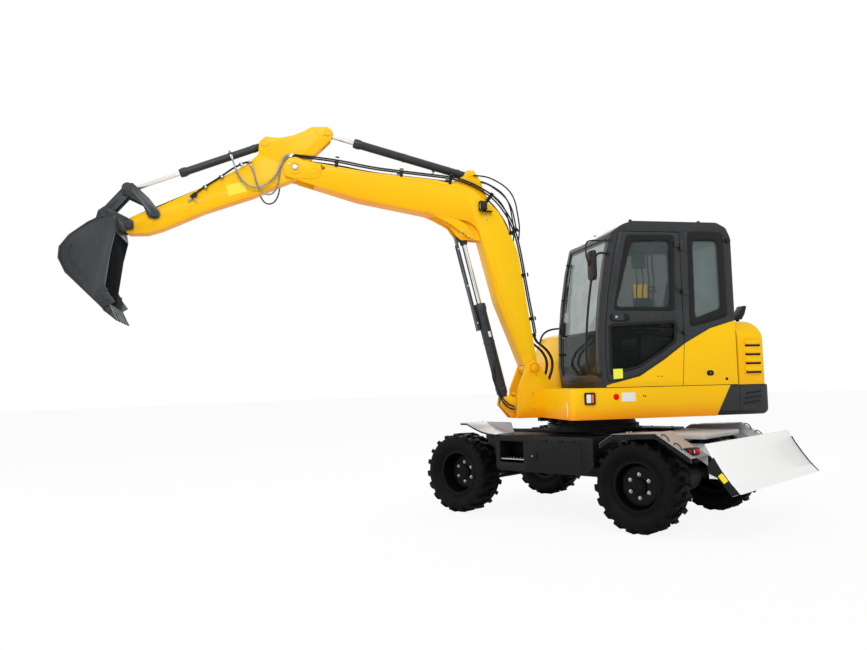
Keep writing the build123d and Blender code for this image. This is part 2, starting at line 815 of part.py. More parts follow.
# ---- cab
cab_base = platform_top + seat_gap
cab_front = ((302, cab_base), (328, 1500), (322, 1790), (285, 2130), (225, 2480), (160, 2735))
cab_roof = ((40, 2815), (-60, 2850), (-950, 2850), (-1050, 2800), (-1095, 2700), (-1100, cab_base))
panel_sweep = ((262, 1300), (-76, 1377), (-340, 1532), (-556, 1680), (-827, 1821), (-1100, 1897))
panel_wall = 15
door_front = ((242, 1335), (260, 1560), (252, 1800), (210, 2150), (140, 2500), (75, 2745))
door_rear = ((-545, 2745), (-545, 1688), (-340, 1548), (-76, 1393), (110, 1345))
door_windows = (
    ((150, 2017), (-25, 2664), (-462, 2680), (-427, 2015)),
    ((205, 1415), (205, 1849), (-462, 1882), (-451, 1700), (-300, 1600), (-60, 1465)),
)
side_windows = (
    (half_width, ((-616, 1836), (-635, 2755), (-1010, 2748), (-1016, 1936))),
    (cab_right + cab_wall, ((150, 1900), (-40, 2690), (-1010, 2748), (-1016, 1960))),
)
front_window = (cab_right + 62, half_width - 62, 1395, 2690)
rear_window = (cab_right + 90, half_width - 90, 1960, 2680)


door_hinge = (-552, 966)
hinge_levels = (1790, 2180, 2600)
with BuildPart() as cab_shell:
    extrude(outline_sketch(upper_side(half_width), cab_front + cab_roof),
            amount=half_width - cab_right)
    extrude(outline_sketch(upper_side(half_width - cab_wall), cab_front + cab_roof, grow=-cab_wall),
            amount=half_width - cab_right - 2 * cab_wall, mode=Mode.SUBTRACT)
    # recess of the painted panel under the sweep
    recess = panel_sweep + ((-1110, panel_sweep[-1][1]), (-1110, cab_base - 1), (262, cab_base - 1))
    extrude(outline_sketch(upper_side(half_width + 1), recess),
            amount=1 + panel_wall + seat_gap, mode=Mode.SUBTRACT)
    # doorway, side windows, windscreen and rear window
    extrude(outline_sketch(upper_side(half_width + 1), door_front + door_rear, grow=door_gap),
            amount=cab_wall + 2, mode=Mode.SUBTRACT)
    for v, points in side_windows:
        extrude(outline_sketch(upper_side(v + 1), points, radius=40),
                amount=cab_wall + 2, mode=Mode.SUBTRACT)
    for (right, left, low, high), start, depth in ((front_window, 30, 300), (rear_window, -1050, -80)):
        with BuildSketch(upper_front(start)):
            with Locations(((right + left) / 2, (low + high) / 2)):
                Rectangle(left - right, high - low)
        extrude(amount=depth, mode=Mode.SUBTRACT)
    for z in hinge_levels:
        with BuildSketch(upper_level(z - 30.3)):
            with Locations(door_hinge):
                Circle(12)
            with Locations((door_hinge[0] - 34, half_width + 5)):
                Rectangle(60, 12)
        extrude(amount=30)
write(cab_shell, "cab_shell")

with BuildPart() as side_panel:
    extrude(outline_sketch(upper_side(half_width), panel_sweep + ((-1100, cab_base), (262, cab_base)), grow=-1),
            amount=panel_wall)
write(side_panel, "side_panel")

glass_inset = 16
with BuildPart() as cab_glass:
    for v, points in side_windows:
        with BuildSketch(upper_side(v - glass_inset)) as pane:
            with BuildLine():
                Polyline(*points, close=True)
            make_face()
            fillet(pane.vertices(), radius=40)
            offset(amount=-seat_gap)
        extrude(amount=glass_wall)
    right, left, low, high = front_window
    outer_glass = [(u - glass_inset, z) for u, z in cab_front]
    inner_glass = [(u - glass_wall, z) for u, z in reversed(outer_glass)]
    with BuildSketch(upper_side(left - seat_gap)) as screen:
        with BuildLine():
            Polyline(*outer_glass, *inner_glass, close=True)
        make_face()
        with Locations((100, (low + high) / 2)):
            Rectangle(600, high - low - 2 * seat_gap, mode=Mode.INTERSECT)
    extrude(amount=left - right - 2 * seat_gap)
    right, left, low, high = rear_window
    with BuildSketch(upper_front(-1100 + glass_inset)):
        with Locations(((right + left) / 2, (low + high) / 2)):
            Rectangle(left - right - 2 * seat_gap, high - low - 2 * seat_gap)
    extrude(amount=glass_wall)
write(cab_glass, "cab_glass")

with BuildPart() as cab_door:
    extrude(outline_sketch(upper_side(half_width), door_front + door_rear),
            amount=cab_wall)
    for points in door_windows:
        extrude(outline_sketch(upper_side(half_width + 1), points, radius=35),
                amount=cab_wall + 2, mode=Mode.SUBTRACT)
    # handle and hinge leaves
    with BuildSketch(upper_side(half_width + 22)):
        with Locations((128, 1932)):
            RectangleRounded(110, 60, 12)
    extrude(amount=23)
    for z in hinge_levels:
        with BuildSketch(upper_level(z)):
            with Locations(door_hinge):
                Circle(12)
            with Locations((door_hinge[0] + 34, half_width + 5)):
                Rectangle(60, 12)
        extrude(amount=60)
write(cab_door, "cab_door")

with BuildPart() as door_glass:
    for points in door_windows:
        with BuildSketch(upper_side(half_width - glass_inset)) as pane:
            with BuildLine():
                Polyline(*points, close=True)
            make_face()
            fillet(pane.vertices(), radius=35)
            offset(amount=-seat_gap)
        extrude(amount=glass_wall)
write(door_glass, "door_glass")

seat_v = (cab_right + half_width) / 2
floor_top = cab_base + cab_wall + seat_gap
with BuildPart() as seat_base:
    with BuildSketch(upper_level(floor_top)):
        with Locations((-560, seat_v)):
            Rectangle(360, 420)
        for side in (1, -1):
            with Locations((-430, seat_v + side * 330)):
                Rectangle(560, 150)
    extrude(amount=330)
write(seat_base, "seat_base")

seat_top = floor_top + 330 + seat_gap
with BuildPart() as seat_cushions:
    with BuildSketch(upper_level(seat_top)):
        with Locations((-490, seat_v)):
            RectangleRounded(500, 470, 60)
    extrude(amount=110)
    extrude(outline_sketch(upper_side(seat_v + 225), ((-640, seat_top + 110.3), (-760, seat_top + 110.3),
                                                 (-880, seat_top + 720), (-790, seat_top + 740))),
            amount=450)
    extrude(outline_sketch(upper_side(seat_v + 120), ((-806, seat_top + 728), (-874, seat_top + 715),
                                                 (-910, seat_top + 900), (-838, seat_top + 910))),
            amount=240)
write(seat_cushions, "seat_cushions")

with BuildPart() as cab_controls:
    # steering column and wheel, travel levers, joysticks
    column_foot = (-10, floor_top + 5.2)
    column_top = (-90, floor_top + 640)
    with BuildSketch(ram_plane(column_foot, column_top, 0)):
        with Locations((seat_v, 0)):
            Circle(40)
    extrude(amount=640)
    with BuildSketch(ram_plane(column_foot, column_top, 640)):
        with Locations((seat_v, 0)):
            Circle(180)
            Circle(160, mode=Mode.SUBTRACT)
            Rectangle(350, 24)
            Circle(50)
    extrude(amount=24)
    for side in (1, -1):
        with BuildSketch(upper_level(floor_top + 330 + seat_gap)):
            with Locations((-230, seat_v + side * 330)):
                Circle(38)
        extrude(amount=30)
        with BuildSketch(upper_level(floor_top + 355)):
            with Locations((-230, seat_v + side * 330)):
                Circle(14)
        extrude(amount=150)
        with BuildSketch(upper_level(floor_top + 500)):
            with Locations((-230, seat_v + side * 330)):
                Ellipse(28, 22)
        extrude(amount=110)
write(cab_controls, "cab_controls")

# ---- boom
boom_top = ((628, 1535), (713, 2127), (800, 2700), (985, 3105), (1300, 3345), (1635, 3410), (2324, 3468),
            (3095, 3580))
boom_belly = ((3040, 3372), (2421, 3194), (1560, 3038), (1229, 2976), (1024, 2172), (900, 1857), (768, 1510))
arm_boss = 98
fork_clearance = 250
with BuildPart() as boom:
    with BuildSketch(upper_side(boom_half_width)):
        with BuildLine():
            FilletPolyline(*boom_top, *boom_belly,
                           radius=(30, 300, 500, 350, 350, 350, 400, 60, 60, 500, 200, 200, 300, 300, 30), close=True)
        make_face()
        with Locations(boom_foot):
            Circle(78)
        with Locations(arm_pivot):
            Circle(arm_boss + 8)
    extrude(amount=2 * boom_half_width)
    with BuildSketch(upper_side(fork_inner)):
        with Locations(arm_pivot):
            Circle(fork_clearance)
    extrude(amount=2 * fork_inner, mode=Mode.SUBTRACT)
    with BuildSketch(upper_side(bracket_inner - pin_gap)):
        with Locations(boom_foot):
            Circle(62)
    extrude(amount=2 * (bracket_inner - pin_gap))
    with BuildSketch(upper_side(bracket_inner + 1)):
        with Locations(boom_foot):
            Circle(35 + rim_gap)
    extrude(amount=2 * bracket_inner + 2, mode=Mode.SUBTRACT)
    for v in pair(46, lug_wall):
        # ears of the boom cylinder's rod, and lugs of the arm cylinder's foot
        with BuildSketch(upper_side(v)):
            with BuildLine():
                FilletPolyline((1150, 2802), (1290, 2810), (1385, 2805), (1428, 2840), (1500, 2940), (1720, 3080),
                               (1400, 3080), (1180, 2950), radius=12, close=True)
            make_face()
            with BuildLine():
                FilletPolyline((1090, 3220), (1175, 3440), (1236, 3532), (1310, 3532), (1345, 3470), (1500, 3390),
                               (1400, 3300), radius=12, close=True)
            make_face()
        extrude(amount=lug_wall)
    for v in pair(46 + lug_wall, 6):
        with BuildSketch(upper_side(v)):
            with Locations(boom_ram_eye):
                Circle(34)
        extrude(amount=6)
    with BuildSketch(upper_side(46 + lug_wall + 6)):
        with Locations(arm_ram_foot):
            Circle(ram_pin_radius)
    extrude(amount=2 * (46 + lug_wall + 6))
    with BuildSketch(upper_side(boom_half_width + 10)):
        with Locations(arm_pivot):
            Circle(30)
    extrude(amount=2 * boom_half_width + 20)
write(boom, "boom")

boom_barrel, boom_rod = ram(boom_ram_foot, boom_ram_eye, 1046, 56, 28, 880, 44)
write(boom_barrel, "boom_cylinder_barrel")
# the boom cylinder's rod carries a guard strip on the bucket's side: (along the ram, away from its axis)
guard = ((779, 66), (1705, 66), (1740, 12), (1777, 0), (1800, 30), (1780, 78), (779, 92))
guard_half = 38
ram_reach = hypot(boom_ram_eye[0] - boom_ram_foot[0], boom_ram_eye[1] - boom_ram_foot[1])
ram_u = (boom_ram_eye[0] - boom_ram_foot[0]) / ram_reach
ram_z = (boom_ram_eye[1] - boom_ram_foot[1]) / ram_reach
with BuildPart() as guarded_rod:
    add(boom_rod.part)
    extrude(outline_sketch(upper_side(guard_half), [
        (boom_ram_foot[0] + along * ram_u + away * ram_z, boom_ram_foot[1] + along * ram_z - away * ram_u)
        for along, away in guard
    ]), amount=2 * guard_half)
write(guarded_rod, "boom_cylinder_rod")

# ---- arm
arm_top = ((2690, 3795), (2672, 3875), (2730, 3920), (2890, 3908), (2972, 3858), (3066, 3817), (3206, 3785),
           (3330, 3795), (3390, 3740), (3400, 3610), (3529, 3498), (3911, 3278), (4326, 3069), (4560, 2972))
arm_belly = ((4640, 2900), (4600, 2815), (4424, 2820), (4292, 2862), (3900, 3042), (3451, 3205), (3080, 3375),
             (2965, 3420), (2890, 3600))
with BuildPart() as arm:
    with BuildSketch(upper_side(arm_half_width)):
        with BuildLine():
            FilletPolyline(*arm_top, *arm_belly, radius=30, close=True)
        make_face()
        with Locations(arm_pivot):
            Circle(arm_boss)
    extrude(amount=2 * arm_half_width)
    with BuildSketch(upper_side(arm_half_width + 1)):
        with Locations(arm_pivot):
            Circle(30 + rim_gap)
    extrude(amount=2 * arm_half_width + 2, mode=Mode.SUBTRACT)
    # slots of the arm cylinder's eye and the bucket cylinder's foot
    with BuildSketch(upper_side(42)):
        with BuildLine():
            Polyline((2600, 3990), (2600, 3700), (2680, 3670), (2790, 3700), (2850, 3800), (2850, 3990), close=True)
        make_face()
        with BuildLine():
            Polyline((3280, 3850), (3270, 3670), (3330, 3650), (3560, 3560), (3560, 3850), close=True)
        make_face()
    extrude(amount=84, mode=Mode.SUBTRACT)
    with BuildSketch(upper_side(arm_half_width + 4)):
        with Locations(bucket_ram_foot):
            Circle(ram_pin_radius)
    extrude(amount=2 * arm_half_width + 8)
    for v in pair(arm_half_width, 5):
        with BuildSketch(upper_side(v)):
            with Locations(arm_ram_eye):
                Circle(32)
        extrude(amount=5)
    for pin, radius in ((lever_pin, 24), (bucket_pin, 26)):
        with BuildSketch(upper_side(ear_inner + ear_wall + 8)):
            with Locations(pin):
                Circle(radius)
        extrude(amount=2 * (ear_inner + ear_wall + 8))
write(arm, "arm")

arm_barrel, arm_rod = ram(arm_ram_foot, arm_ram_eye, 1225, 42, 25, 1010, 40)
write(arm_barrel, "arm_cylinder_barrel")
write(arm_rod, "arm_cylinder_rod")
bucket_barrel, bucket_rod = ram(bucket_ram_foot, lever_top, 858, 37, 22, 780, 36)
write(bucket_barrel, "bucket_cylinder_barrel")
write(bucket_rod, "bucket_cylinder_rod")

# ---- tipping levers, link and bucket
link_outer = 78
link_wall = 26
with BuildPart() as tipping_levers:
    for v in pair(ear_inner, lever_wall):
        with BuildSketch(upper_side(v)):
            with BuildLine():
                FilletPolyline((4318, 3040), (4400, 3150), (4545, 3290), (4640, 3270), (4640, 3190), (4470, 3110),
                               (4400, 2960), (4300, 2960), radius=20, close=True)
            make_face()
            with Locations(lever_pin):
                Circle(50)
            with Locations(lever_top):
                Circle(52)
        extrude(amount=lever_wall)
        with BuildSketch(upper_side(v + 1)):
            with Locations(lever_pin):
                Circle(24 + rim_gap)
        extrude(amount=lever_wall + 2, mode=Mode.SUBTRACT)
    for v in pair(ear_inner + lever_wall, 6):
        with BuildSketch(upper_side(v)):
            with Locations(lever_top):
                Circle(30)
        extrude(amount=6)
write(tipping_levers, "tipping_levers")

link_axis = degrees(atan2(link_pin[1] - lever_top[1], link_pin[0] - lever_top[0]))
link_length = hypot(link_pin[0] - lever_top[0], link_pin[1] - lever_top[1])
with BuildPart() as bucket_link:
    for v in pair(link_outer - link_wall, link_wall):
        with BuildSketch(upper_side(v)):
            with Locations(((lever_top[0] + link_pin[0]) / 2, (lever_top[1] + link_pin[1]) / 2)):
                SlotCenterToCenter(link_length, 84, rotation=link_axis)
        extrude(amount=link_wall)
    with BuildSketch(upper_side(link_outer)):
        with Locations(link_pin):
            Circle(42)
    extrude(amount=2 * link_outer)
    with BuildSketch(upper_side(link_outer + 1)):
        with Locations(link_pin):
            Circle(24 + rim_gap)
    extrude(amount=2 * link_outer + 2, mode=Mode.SUBTRACT)
write(bucket_link, "bucket_link")

bucket_back = ((4668, 2935), (4760, 2935), (4885, 2868), (5040, 2750), (5122, 2640), (5130, 2540), (5070, 2410),
               (4764, 2098))
bucket_mouth = ((4728, 2365), (4694, 2600), (4650, 2790))
bucket_hollow = ((4684, 2918), (4755, 2918), (4873, 2853), (5027, 2737), (5105, 2632), (5113, 2545), (5056, 2420),
                 (4736, 2093), (4450, 2200), (4450, 2790), (4666, 2790))
tooth_pitch = 145
tooth_width = 58
with BuildPart() as bucket:
    extrude(outline_sketch(upper_side(bucket_half_width), bucket_back + bucket_mouth),
            amount=2 * bucket_half_width)
    inner = bucket_half_width - bucket_wall
    extrude(outline_sketch(upper_side(inner), bucket_hollow), amount=2 * inner, mode=Mode.SUBTRACT)
    for v in pair(ear_inner, ear_wall):
        with BuildSketch(upper_side(v)):
            with BuildLine():
                FilletPolyline((4535, 2850), (4535, 2930), (4600, 2965), (4735, 3035), (4790, 3062), (4845, 3020),
                               (4860, 2960), (4935, 2828), (4760, 2900), (4690, 2890), (4640, 2830),
                               radius=18, close=True)
            make_face()
        extrude(amount=ear_wall)
        with BuildSketch(upper_side(v + 1)):
            with Locations(bucket_pin):
                Circle(26 + rim_gap)
        extrude(amount=ear_wall + 2, mode=Mode.SUBTRACT)
    with BuildSketch(upper_side(ear_inner + ear_wall + 8)):
        with Locations(link_pin):
            Circle(24)
    extrude(amount=2 * (ear_inner + ear_wall + 8))
    # lip, side cutters and teeth
    extrude(outline_sketch(upper_side(bucket_half_width), ((4764, 2098), (4748, 2082), (4722, 2110), (4800, 2190),
                                                         (4850, 2186))),
            amount=2 * bucket_half_width)
    for v in (bucket_half_width + 16, -bucket_half_width + 1):
        extrude(outline_sketch(upper_side(v), ((4745, 2310), (4700, 2220), (4652, 2150), (4700, 2120),
                                               (4770, 2104), (4830, 2180))),
                amount=17)
    for count in range(-2, 3):
        v = count * tooth_pitch
        extrude(outline_sketch(upper_side(v + tooth_width / 2), ((4800, 2140), (4770, 2170), (4700, 2108),
                                                               (4632, 1990), (4640, 1980), (4740, 2064))),
                amount=tooth_width)
write(bucket, "bucket")

# ---- hoses and pipes, mirrored about the middle of the boom: (u, z)
boom_line = ((3085, 3600), (2700, 3575), (2324, 3502), (1702, 3447), (1380, 3408), (1219, 3343), (1085, 3262),
             (985, 3165), (880, 3010), (818, 2830), (775, 2620), (703, 2173), (670, 1985), (645, 1830))
boom_line_v = 92
line_step = 17
# clamps under the hoses: (u, z, tilt of the clamp, length)
boom_clamps = ((2650, 3505, 8, 88), (2000, 3430, 5, 72), (1500, 3370, 11, 82), (1120, 3195, 37, 95),
               (890, 2870, 65, 88), (770, 2440, 81, 52), (702, 1990, 82, 50))
clamp_half = 13
# free hoses over the elbow to the arm cylinder
elbow_loops = (
    ((1248, 3470), (1150, 3468), (1041, 3440), (892, 3352), (815, 3234), (785, 3042), (770, 2920), (790, 2800)),
    ((1170, 3400), (1105, 3388), (1044, 3350), (935, 3275), (862, 3173), (826, 3050), (806, 2900)),
)
with BuildPart() as boom_hoses:
    for v in (boom_line_v, -boom_line_v):
        for step in (0, line_step):
            add(tube([(u - step, v, z + step) for u, z in boom_line], hose_radius))
        for u, z, tilt, length in boom_clamps:
            with BuildSketch(upper_side(v + clamp_half)):
                with Locations((u, z)):
                    Rectangle(30, length, rotation=tilt, align=(Align.CENTER, Align.MIN))
            extrude(amount=2 * clamp_half)
        for loop in elbow_loops:
            add(tube([(u, v, z) for u, z in loop], hose_radius - 1))
    add(boom.part, mode=Mode.SUBTRACT)
write(boom_hoses, "boom_hoses")

arm_line = ((3486, 3528), (3529, 3521), (3637, 3463), (3755, 3372), (3917, 3262), (3985, 3205), (4044, 3133))
arm_line_v = 96
arm_clamps = ((3560, 3505), (3745, 3378), (3895, 3276))
with BuildPart() as arm_pipes:
    for v in (arm_line_v, -arm_line_v):
        add(tube([(u, v, z) for u, z in arm_line], hose_radius + 1))
        outer = max(v, -arm_half_width - seat_gap) + (16 if v > 0 else 0)
        with BuildSketch(upper_side(outer)):
            for place in arm_clamps:
                with Locations(place):
                    Rectangle(34, 30, rotation=-36)
            with Locations((4000, 3184)):
                Rectangle(60, 36, rotation=-46)
        extrude(amount=arm_line_v + 16 - arm_half_width - seat_gap)
write(arm_pipes, "arm_pipes")

# slack loops: from the boom's end to the arm, and from the upper to the boom's foot
arm_loops = (
    ((3069, 92, 3617), (3100, 95, 3617), (3155, 110, 3590), (3195, 119, 3490), (3240, 119, 3385), (3335, 119, 3296),
     (3445, 119, 3264), (3530, 119, 3310), (3592, 119, 3398), (3625, 115, 3490), (3652, 90, 3590)),
    ((3086, 92, 3600), (3112, 93, 3601.7), (3172, 100, 3545), (3200, 100, 3420), (3214, 100, 3300), (3262, 100, 3222),
     (3325, 100, 3208), (3392, 100, 3258), (3424, 100, 3350), (3440, 99, 3430), (3468, 98, 3500)),
    ((3086, -92, 3600), (3112, -93, 3601.7), (3168, -97, 3540), (3190, -98, 3400), (3200, -98, 3280),
     (3240, -98, 3190), (3300, -98, 3160), (3360, -98, 3190), (3405, -98, 3300), (3436, -98, 3420), (3466, -98, 3496)),
)
with BuildPart() as arm_hose_loops:
    for loop in arm_loops:
        add(tube(loop, hose_radius))
write(arm_hose_loops, "arm_hose_loops")

foot_loop = ((644.9, 1829.4), (640, 1799), (614, 1752), (562, 1716), (492, 1650), (452, 1560), (462, 1460), (498, 1380),
             (505, 1330), (505, platform_top + seat_gap))
with BuildPart() as boom_foot_hoses:
    for v in (boom_line_v, boom_line_v - 24, 24 - boom_line_v, -boom_line_v):
        add(tube([(u, v, z) for u, z in foot_loop], hose_radius + 2))
write(boom_foot_hoses, "boom_foot_hoses")

# ---- lamps, mirrors and rails
lamp_u = 1170
with BuildPart() as boom_lamp:
    with BuildSketch(upper_front(lamp_u - 38)):
        with Locations((150, 3146)):
            RectangleRounded(78, 92, 10)
    extrude(amount=76)
    with BuildSketch(upper_front(lamp_u + 30)):
        with Locations((150, 3146)):
            RectangleRounded(64, 78, 8)
    extrude(amount=20, mode=Mode.SUBTRACT)
    with BuildSketch(upper_side(160)):
        with Locations((1118, 3094)):
            Rectangle(110, 12)
    extrude(amount=160 - boom_half_width - seat_gap)
write(boom_lamp, "boom_lamp")

lamp_z = (1123, 1236)
with BuildPart() as side_lamps:
    for side in (1, -1):
        with BuildSketch(upper_side(half_width + seat_gap + 22 if side > 0 else -half_width - seat_gap)):
            with Locations((437, (lamp_z[0] + lamp_z[1]) / 2)):
                RectangleRounded(100, lamp_z[1] - lamp_z[0], 12)
        extrude(amount=22)
write(side_lamps, "side_lamps")

mirror_tube = 9
rear_mirror = ((-1390, 1930), (-1406, 1972), (-1470, 2081), (-1501, 2070), (-1476, 1990), (-1440, 1932))
rail = ((190, 930, 2528), (250, 985, 2530), (318, 985, 2530), (356, 985, 2470), (398, 985, 2242), (440, 985, 1980),
        (462, 985, 1750), (474, 985, 1520), (448, 985, 1430), (390, 985, 1398), (318, 930, 1392))
mirror_arm = ((160, 930, 2655), (240, 950, 2652), (395, 950, 2655), (424, 950, 2600), (424, 975, 2450),
              (400, 985, 2425))
with BuildPart() as mirrors:
    add(tube(rail, mirror_tube + 2))
    add(tube(mirror_arm, mirror_tube - 2))
    with BuildSketch(upper_front(372)) as face:
        with Locations((1000, 2410)):
            RectangleRounded(150, 280, 40)
    extrude(amount=34)
    add(cab_shell.part, mode=Mode.SUBTRACT)
    # a mirror that looks back, on a foot on the hood
    extrude(outline_sketch(upper_side(560), rear_mirror), amount=120)
    with BuildSketch(upper_level(hood_top + seat_gap)):
        with Locations((-1425, 500)):
            Circle(18)
    extrude(amount=46)
write(mirrors, "mirrors")
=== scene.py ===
import json
import math

import bmesh
import bpy
from mathutils import Matrix, Vector


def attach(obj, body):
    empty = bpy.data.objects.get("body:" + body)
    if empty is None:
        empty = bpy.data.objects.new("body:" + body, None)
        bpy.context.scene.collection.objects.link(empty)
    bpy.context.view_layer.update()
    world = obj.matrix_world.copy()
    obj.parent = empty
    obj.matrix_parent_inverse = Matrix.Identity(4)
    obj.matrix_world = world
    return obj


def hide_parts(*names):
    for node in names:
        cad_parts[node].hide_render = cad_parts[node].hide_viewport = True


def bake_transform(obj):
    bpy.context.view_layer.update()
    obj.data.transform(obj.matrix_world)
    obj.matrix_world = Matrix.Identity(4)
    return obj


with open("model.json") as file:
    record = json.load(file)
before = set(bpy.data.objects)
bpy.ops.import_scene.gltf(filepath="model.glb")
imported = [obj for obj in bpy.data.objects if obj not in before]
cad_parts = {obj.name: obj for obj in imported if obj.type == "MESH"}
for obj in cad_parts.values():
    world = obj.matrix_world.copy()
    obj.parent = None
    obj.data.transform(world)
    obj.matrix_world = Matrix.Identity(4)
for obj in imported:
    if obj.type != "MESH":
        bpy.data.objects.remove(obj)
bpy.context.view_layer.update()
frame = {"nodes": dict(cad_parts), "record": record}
nodes = frame["nodes"]
bodyOf = {node: body for body, held in frame["record"]["behaviour"]["bodies"].items() for node in held}
print("frame loaded:", len(nodes), "nodes")

# pieces are drawn in mm: those of the chassis about its own axes, those of the upper
# as (forward, left, up) of the cab, which is then turned about the slew axis
slewTurn = math.radians(55.38)
chassisPlace = Matrix.Scale(0.001, 4)
upperPlace = Matrix.Rotation(slewTurn, 4, "Z") @ chassisPlace
left, right, front, rear, top = (0, 1, 0), (0, -1, 0), (1, 0, 0), (-1, 0, 0), (0, 0, 1)
bothSides = ((1, left), (-1, right))


# ways of making shapes; a piece of the upper or of the arm is drawn in (forward, left, up)
def facing(direction, at, turn=0.0):
    # local Z looks out along the direction, local Y stays up
    look = Vector(direction).to_track_quat("Z", "Y").to_matrix().to_4x4()
    return Matrix.Translation(at) @ look @ Matrix.Rotation(math.radians(turn), 4, "Z")


def joinInto(bm, part, place=None):
    if place is not None:
        bmesh.ops.transform(part, matrix=place, verts=part.verts)
    holder = bpy.data.meshes.new("holder")
    part.to_mesh(holder)
    part.free()
    bm.from_mesh(holder)
    bpy.data.meshes.remove(holder)


# the piece in hand: parts are put in until addPiece names it
draft = bmesh.new()


def put(part, direction=None, at=None, turn=0.0, place=None):
    joinInto(draft, part, place if direction is None else facing(direction, at, turn))


def roundOff(bm, size, picks, steps=2):
    # rounds the edges that are picked, or the corners of a flat shape when nothing picks
    rim = [item for item in bm.edges if picks(item)] if picks else bm.verts[:]
    bmesh.ops.bevel(bm, geom=rim, offset=size, segments=steps, affect="EDGES" if picks else "VERTICES",
                    profile=0.5, material=-1)


def folded(item):
    return item.calc_face_angle(0) > 0.5


def grow(bm):
    # a second skin joined to the first by walls: gives back its corners
    grown = bmesh.ops.extrude_face_region(bm, geom=bm.faces[:])
    return {item for item in grown["geom"] if isinstance(item, bmesh.types.BMVert)}


def thicken(bm, depth, edge=0.0, way=top):
    # a flat shape grows along the way given, and its outer rim is rounded
    tips = grow(bm)
    bmesh.ops.translate(bm, verts=list(tips), vec=Vector(way) * depth)
    bmesh.ops.recalc_face_normals(bm, faces=bm.faces)
    if edge:
        roundOff(bm, edge, lambda item: set(item.verts) <= tips and folded(item))
    return bm


def plate(width, height, depth, corner=0.0, edge=0.0, steps=4):
    bm = bmesh.new()
    bmesh.ops.create_grid(bm, x_segments=1, y_segments=1, size=0.5)
    bmesh.ops.scale(bm, vec=(width, height, 1), verts=bm.verts)
    if corner:
        roundOff(bm, corner, None, steps)
    return thicken(bm, depth, edge)


def sidewise(bm, v, depth):
    # what was drawn flat in (forward, up) stands up at v and grows the way the depth's sign says
    swap = Matrix(((1, 0, 0, 0), (0, 0, math.copysign(1, depth), v), (0, 1, 0, 0), (0, 0, 0, 1)))
    bmesh.ops.transform(bm, matrix=swap, verts=bm.verts)
    bmesh.ops.recalc_face_normals(bm, faces=bm.faces)
    return bm


def sidePlate(outline, v, depth, corner=0.0, edge=0.0):
    # outline in (forward, up), growing to the left from v, or to the right when depth is below zero
    bm = bmesh.new()
    bm.faces.new([bm.verts.new((x, y, 0)) for x, y in outline])
    if corner:
        roundOff(bm, corner, None, 4)
    bmesh.ops.recalc_face_normals(bm, faces=bm.faces)
    return sidewise(thicken(bm, abs(depth), edge), v, depth)


def platePair(outline, v, depth, corner=0.0, edge=0.0):
    # the same plate on both sides
    for side in (1, -1):
        put(sidePlate(outline, side * v, side * depth, corner, edge))


def putPair(part, at, turn=0.0):
    # the same part on both sides, each looking out
    for side, outwards in bothSides:
        put(part.copy(), outwards, (at[0], side * at[1], at[2]), turn)
    part.free()


def disc(radius, depth, edge=0.0, segments=32):
    bm = bmesh.new()
    bmesh.ops.create_cone(bm, cap_ends=True, segments=segments, radius1=radius, radius2=radius, depth=depth)
    bmesh.ops.translate(bm, verts=bm.verts, vec=(0, 0, depth / 2))
    if edge:
        roundOff(bm, edge, lambda item: all(vert.co.z > depth * 0.9 for vert in item.verts))
    return bm


def bolt(radius, depth, washer=1.45):
    # washer, six-sided head, and the round end of the thread
    bm = disc(radius * washer, depth * 0.22, depth * 0.08, 20)
    joinInto(bm, disc(radius, depth, depth * 0.16, 6))
    joinInto(bm, disc(radius * 0.5, depth * 1.25, depth * 0.1, 12))
    return bm


def turned(profile, steps=48):
    # (radius, height) points spun about local Z
    bm = bmesh.new()
    points = [bm.verts.new((radius, 0, height)) for radius, height in profile]
    lines = [bm.edges.new(pair) for pair in zip(points, points[1:])]
    bmesh.ops.spin(bm, geom=points + lines, cent=(0, 0, 0), axis=(0, 0, 1), angle=math.tau, steps=steps,
                   use_merge=True)
    bmesh.ops.remove_doubles(bm, verts=bm.verts, dist=0.01)
    bmesh.ops.recalc_face_normals(bm, faces=bm.faces)
    return bm


def run(points, radius, sides=3, smoothness=8):
    # a hose, pipe or weld goes into the draft along a smooth line that the points pull round
    curve = bpy.data.curves.new("run", "CURVE")
    curve.dimensions = "3D"
    curve.bevel_depth = radius
    curve.bevel_resolution = sides
    curve.use_fill_caps = True
    curve.resolution_u = smoothness
    line = curve.splines.new("NURBS")
    line.points.add(len(points) - 1)
    for spot, point in zip(line.points, points):
        spot.co = (*point, 1)
    line.order_u = 3
    line.use_endpoint_u = True
    holder = bpy.data.objects.new("run", curve)
    mesh = bpy.data.meshes.new_from_object(holder)
    draft.from_mesh(mesh)
    bpy.data.objects.remove(holder)
    bpy.data.curves.remove(curve)
    bpy.data.meshes.remove(mesh)


def addPiece(name, body, look, place=None, bm=None, sharp=35, replaced=(), ride=True):
    if bm is None:
        bm = draft.copy()
        draft.clear()
    if place is None:
        place = chassisPlace if body in ("chassis", "dozer_blade") else upperPlace
    bmesh.ops.transform(bm, matrix=place, verts=bm.verts)
    for face in bm.faces:
        face.smooth = True
    for item in bm.edges:
        if item.calc_face_angle(0) > math.radians(sharp):
            item.smooth = False
    mesh = bpy.data.meshes.new(name)
    bm.to_mesh(mesh)
    bm.free()
    mesh.materials.append(looks[look])
    piece = bpy.data.objects.new(name, mesh)
    bpy.context.scene.collection.objects.link(piece)
    if ride:
        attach(piece, body)
    if replaced:
        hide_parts(*replaced)
    return piece


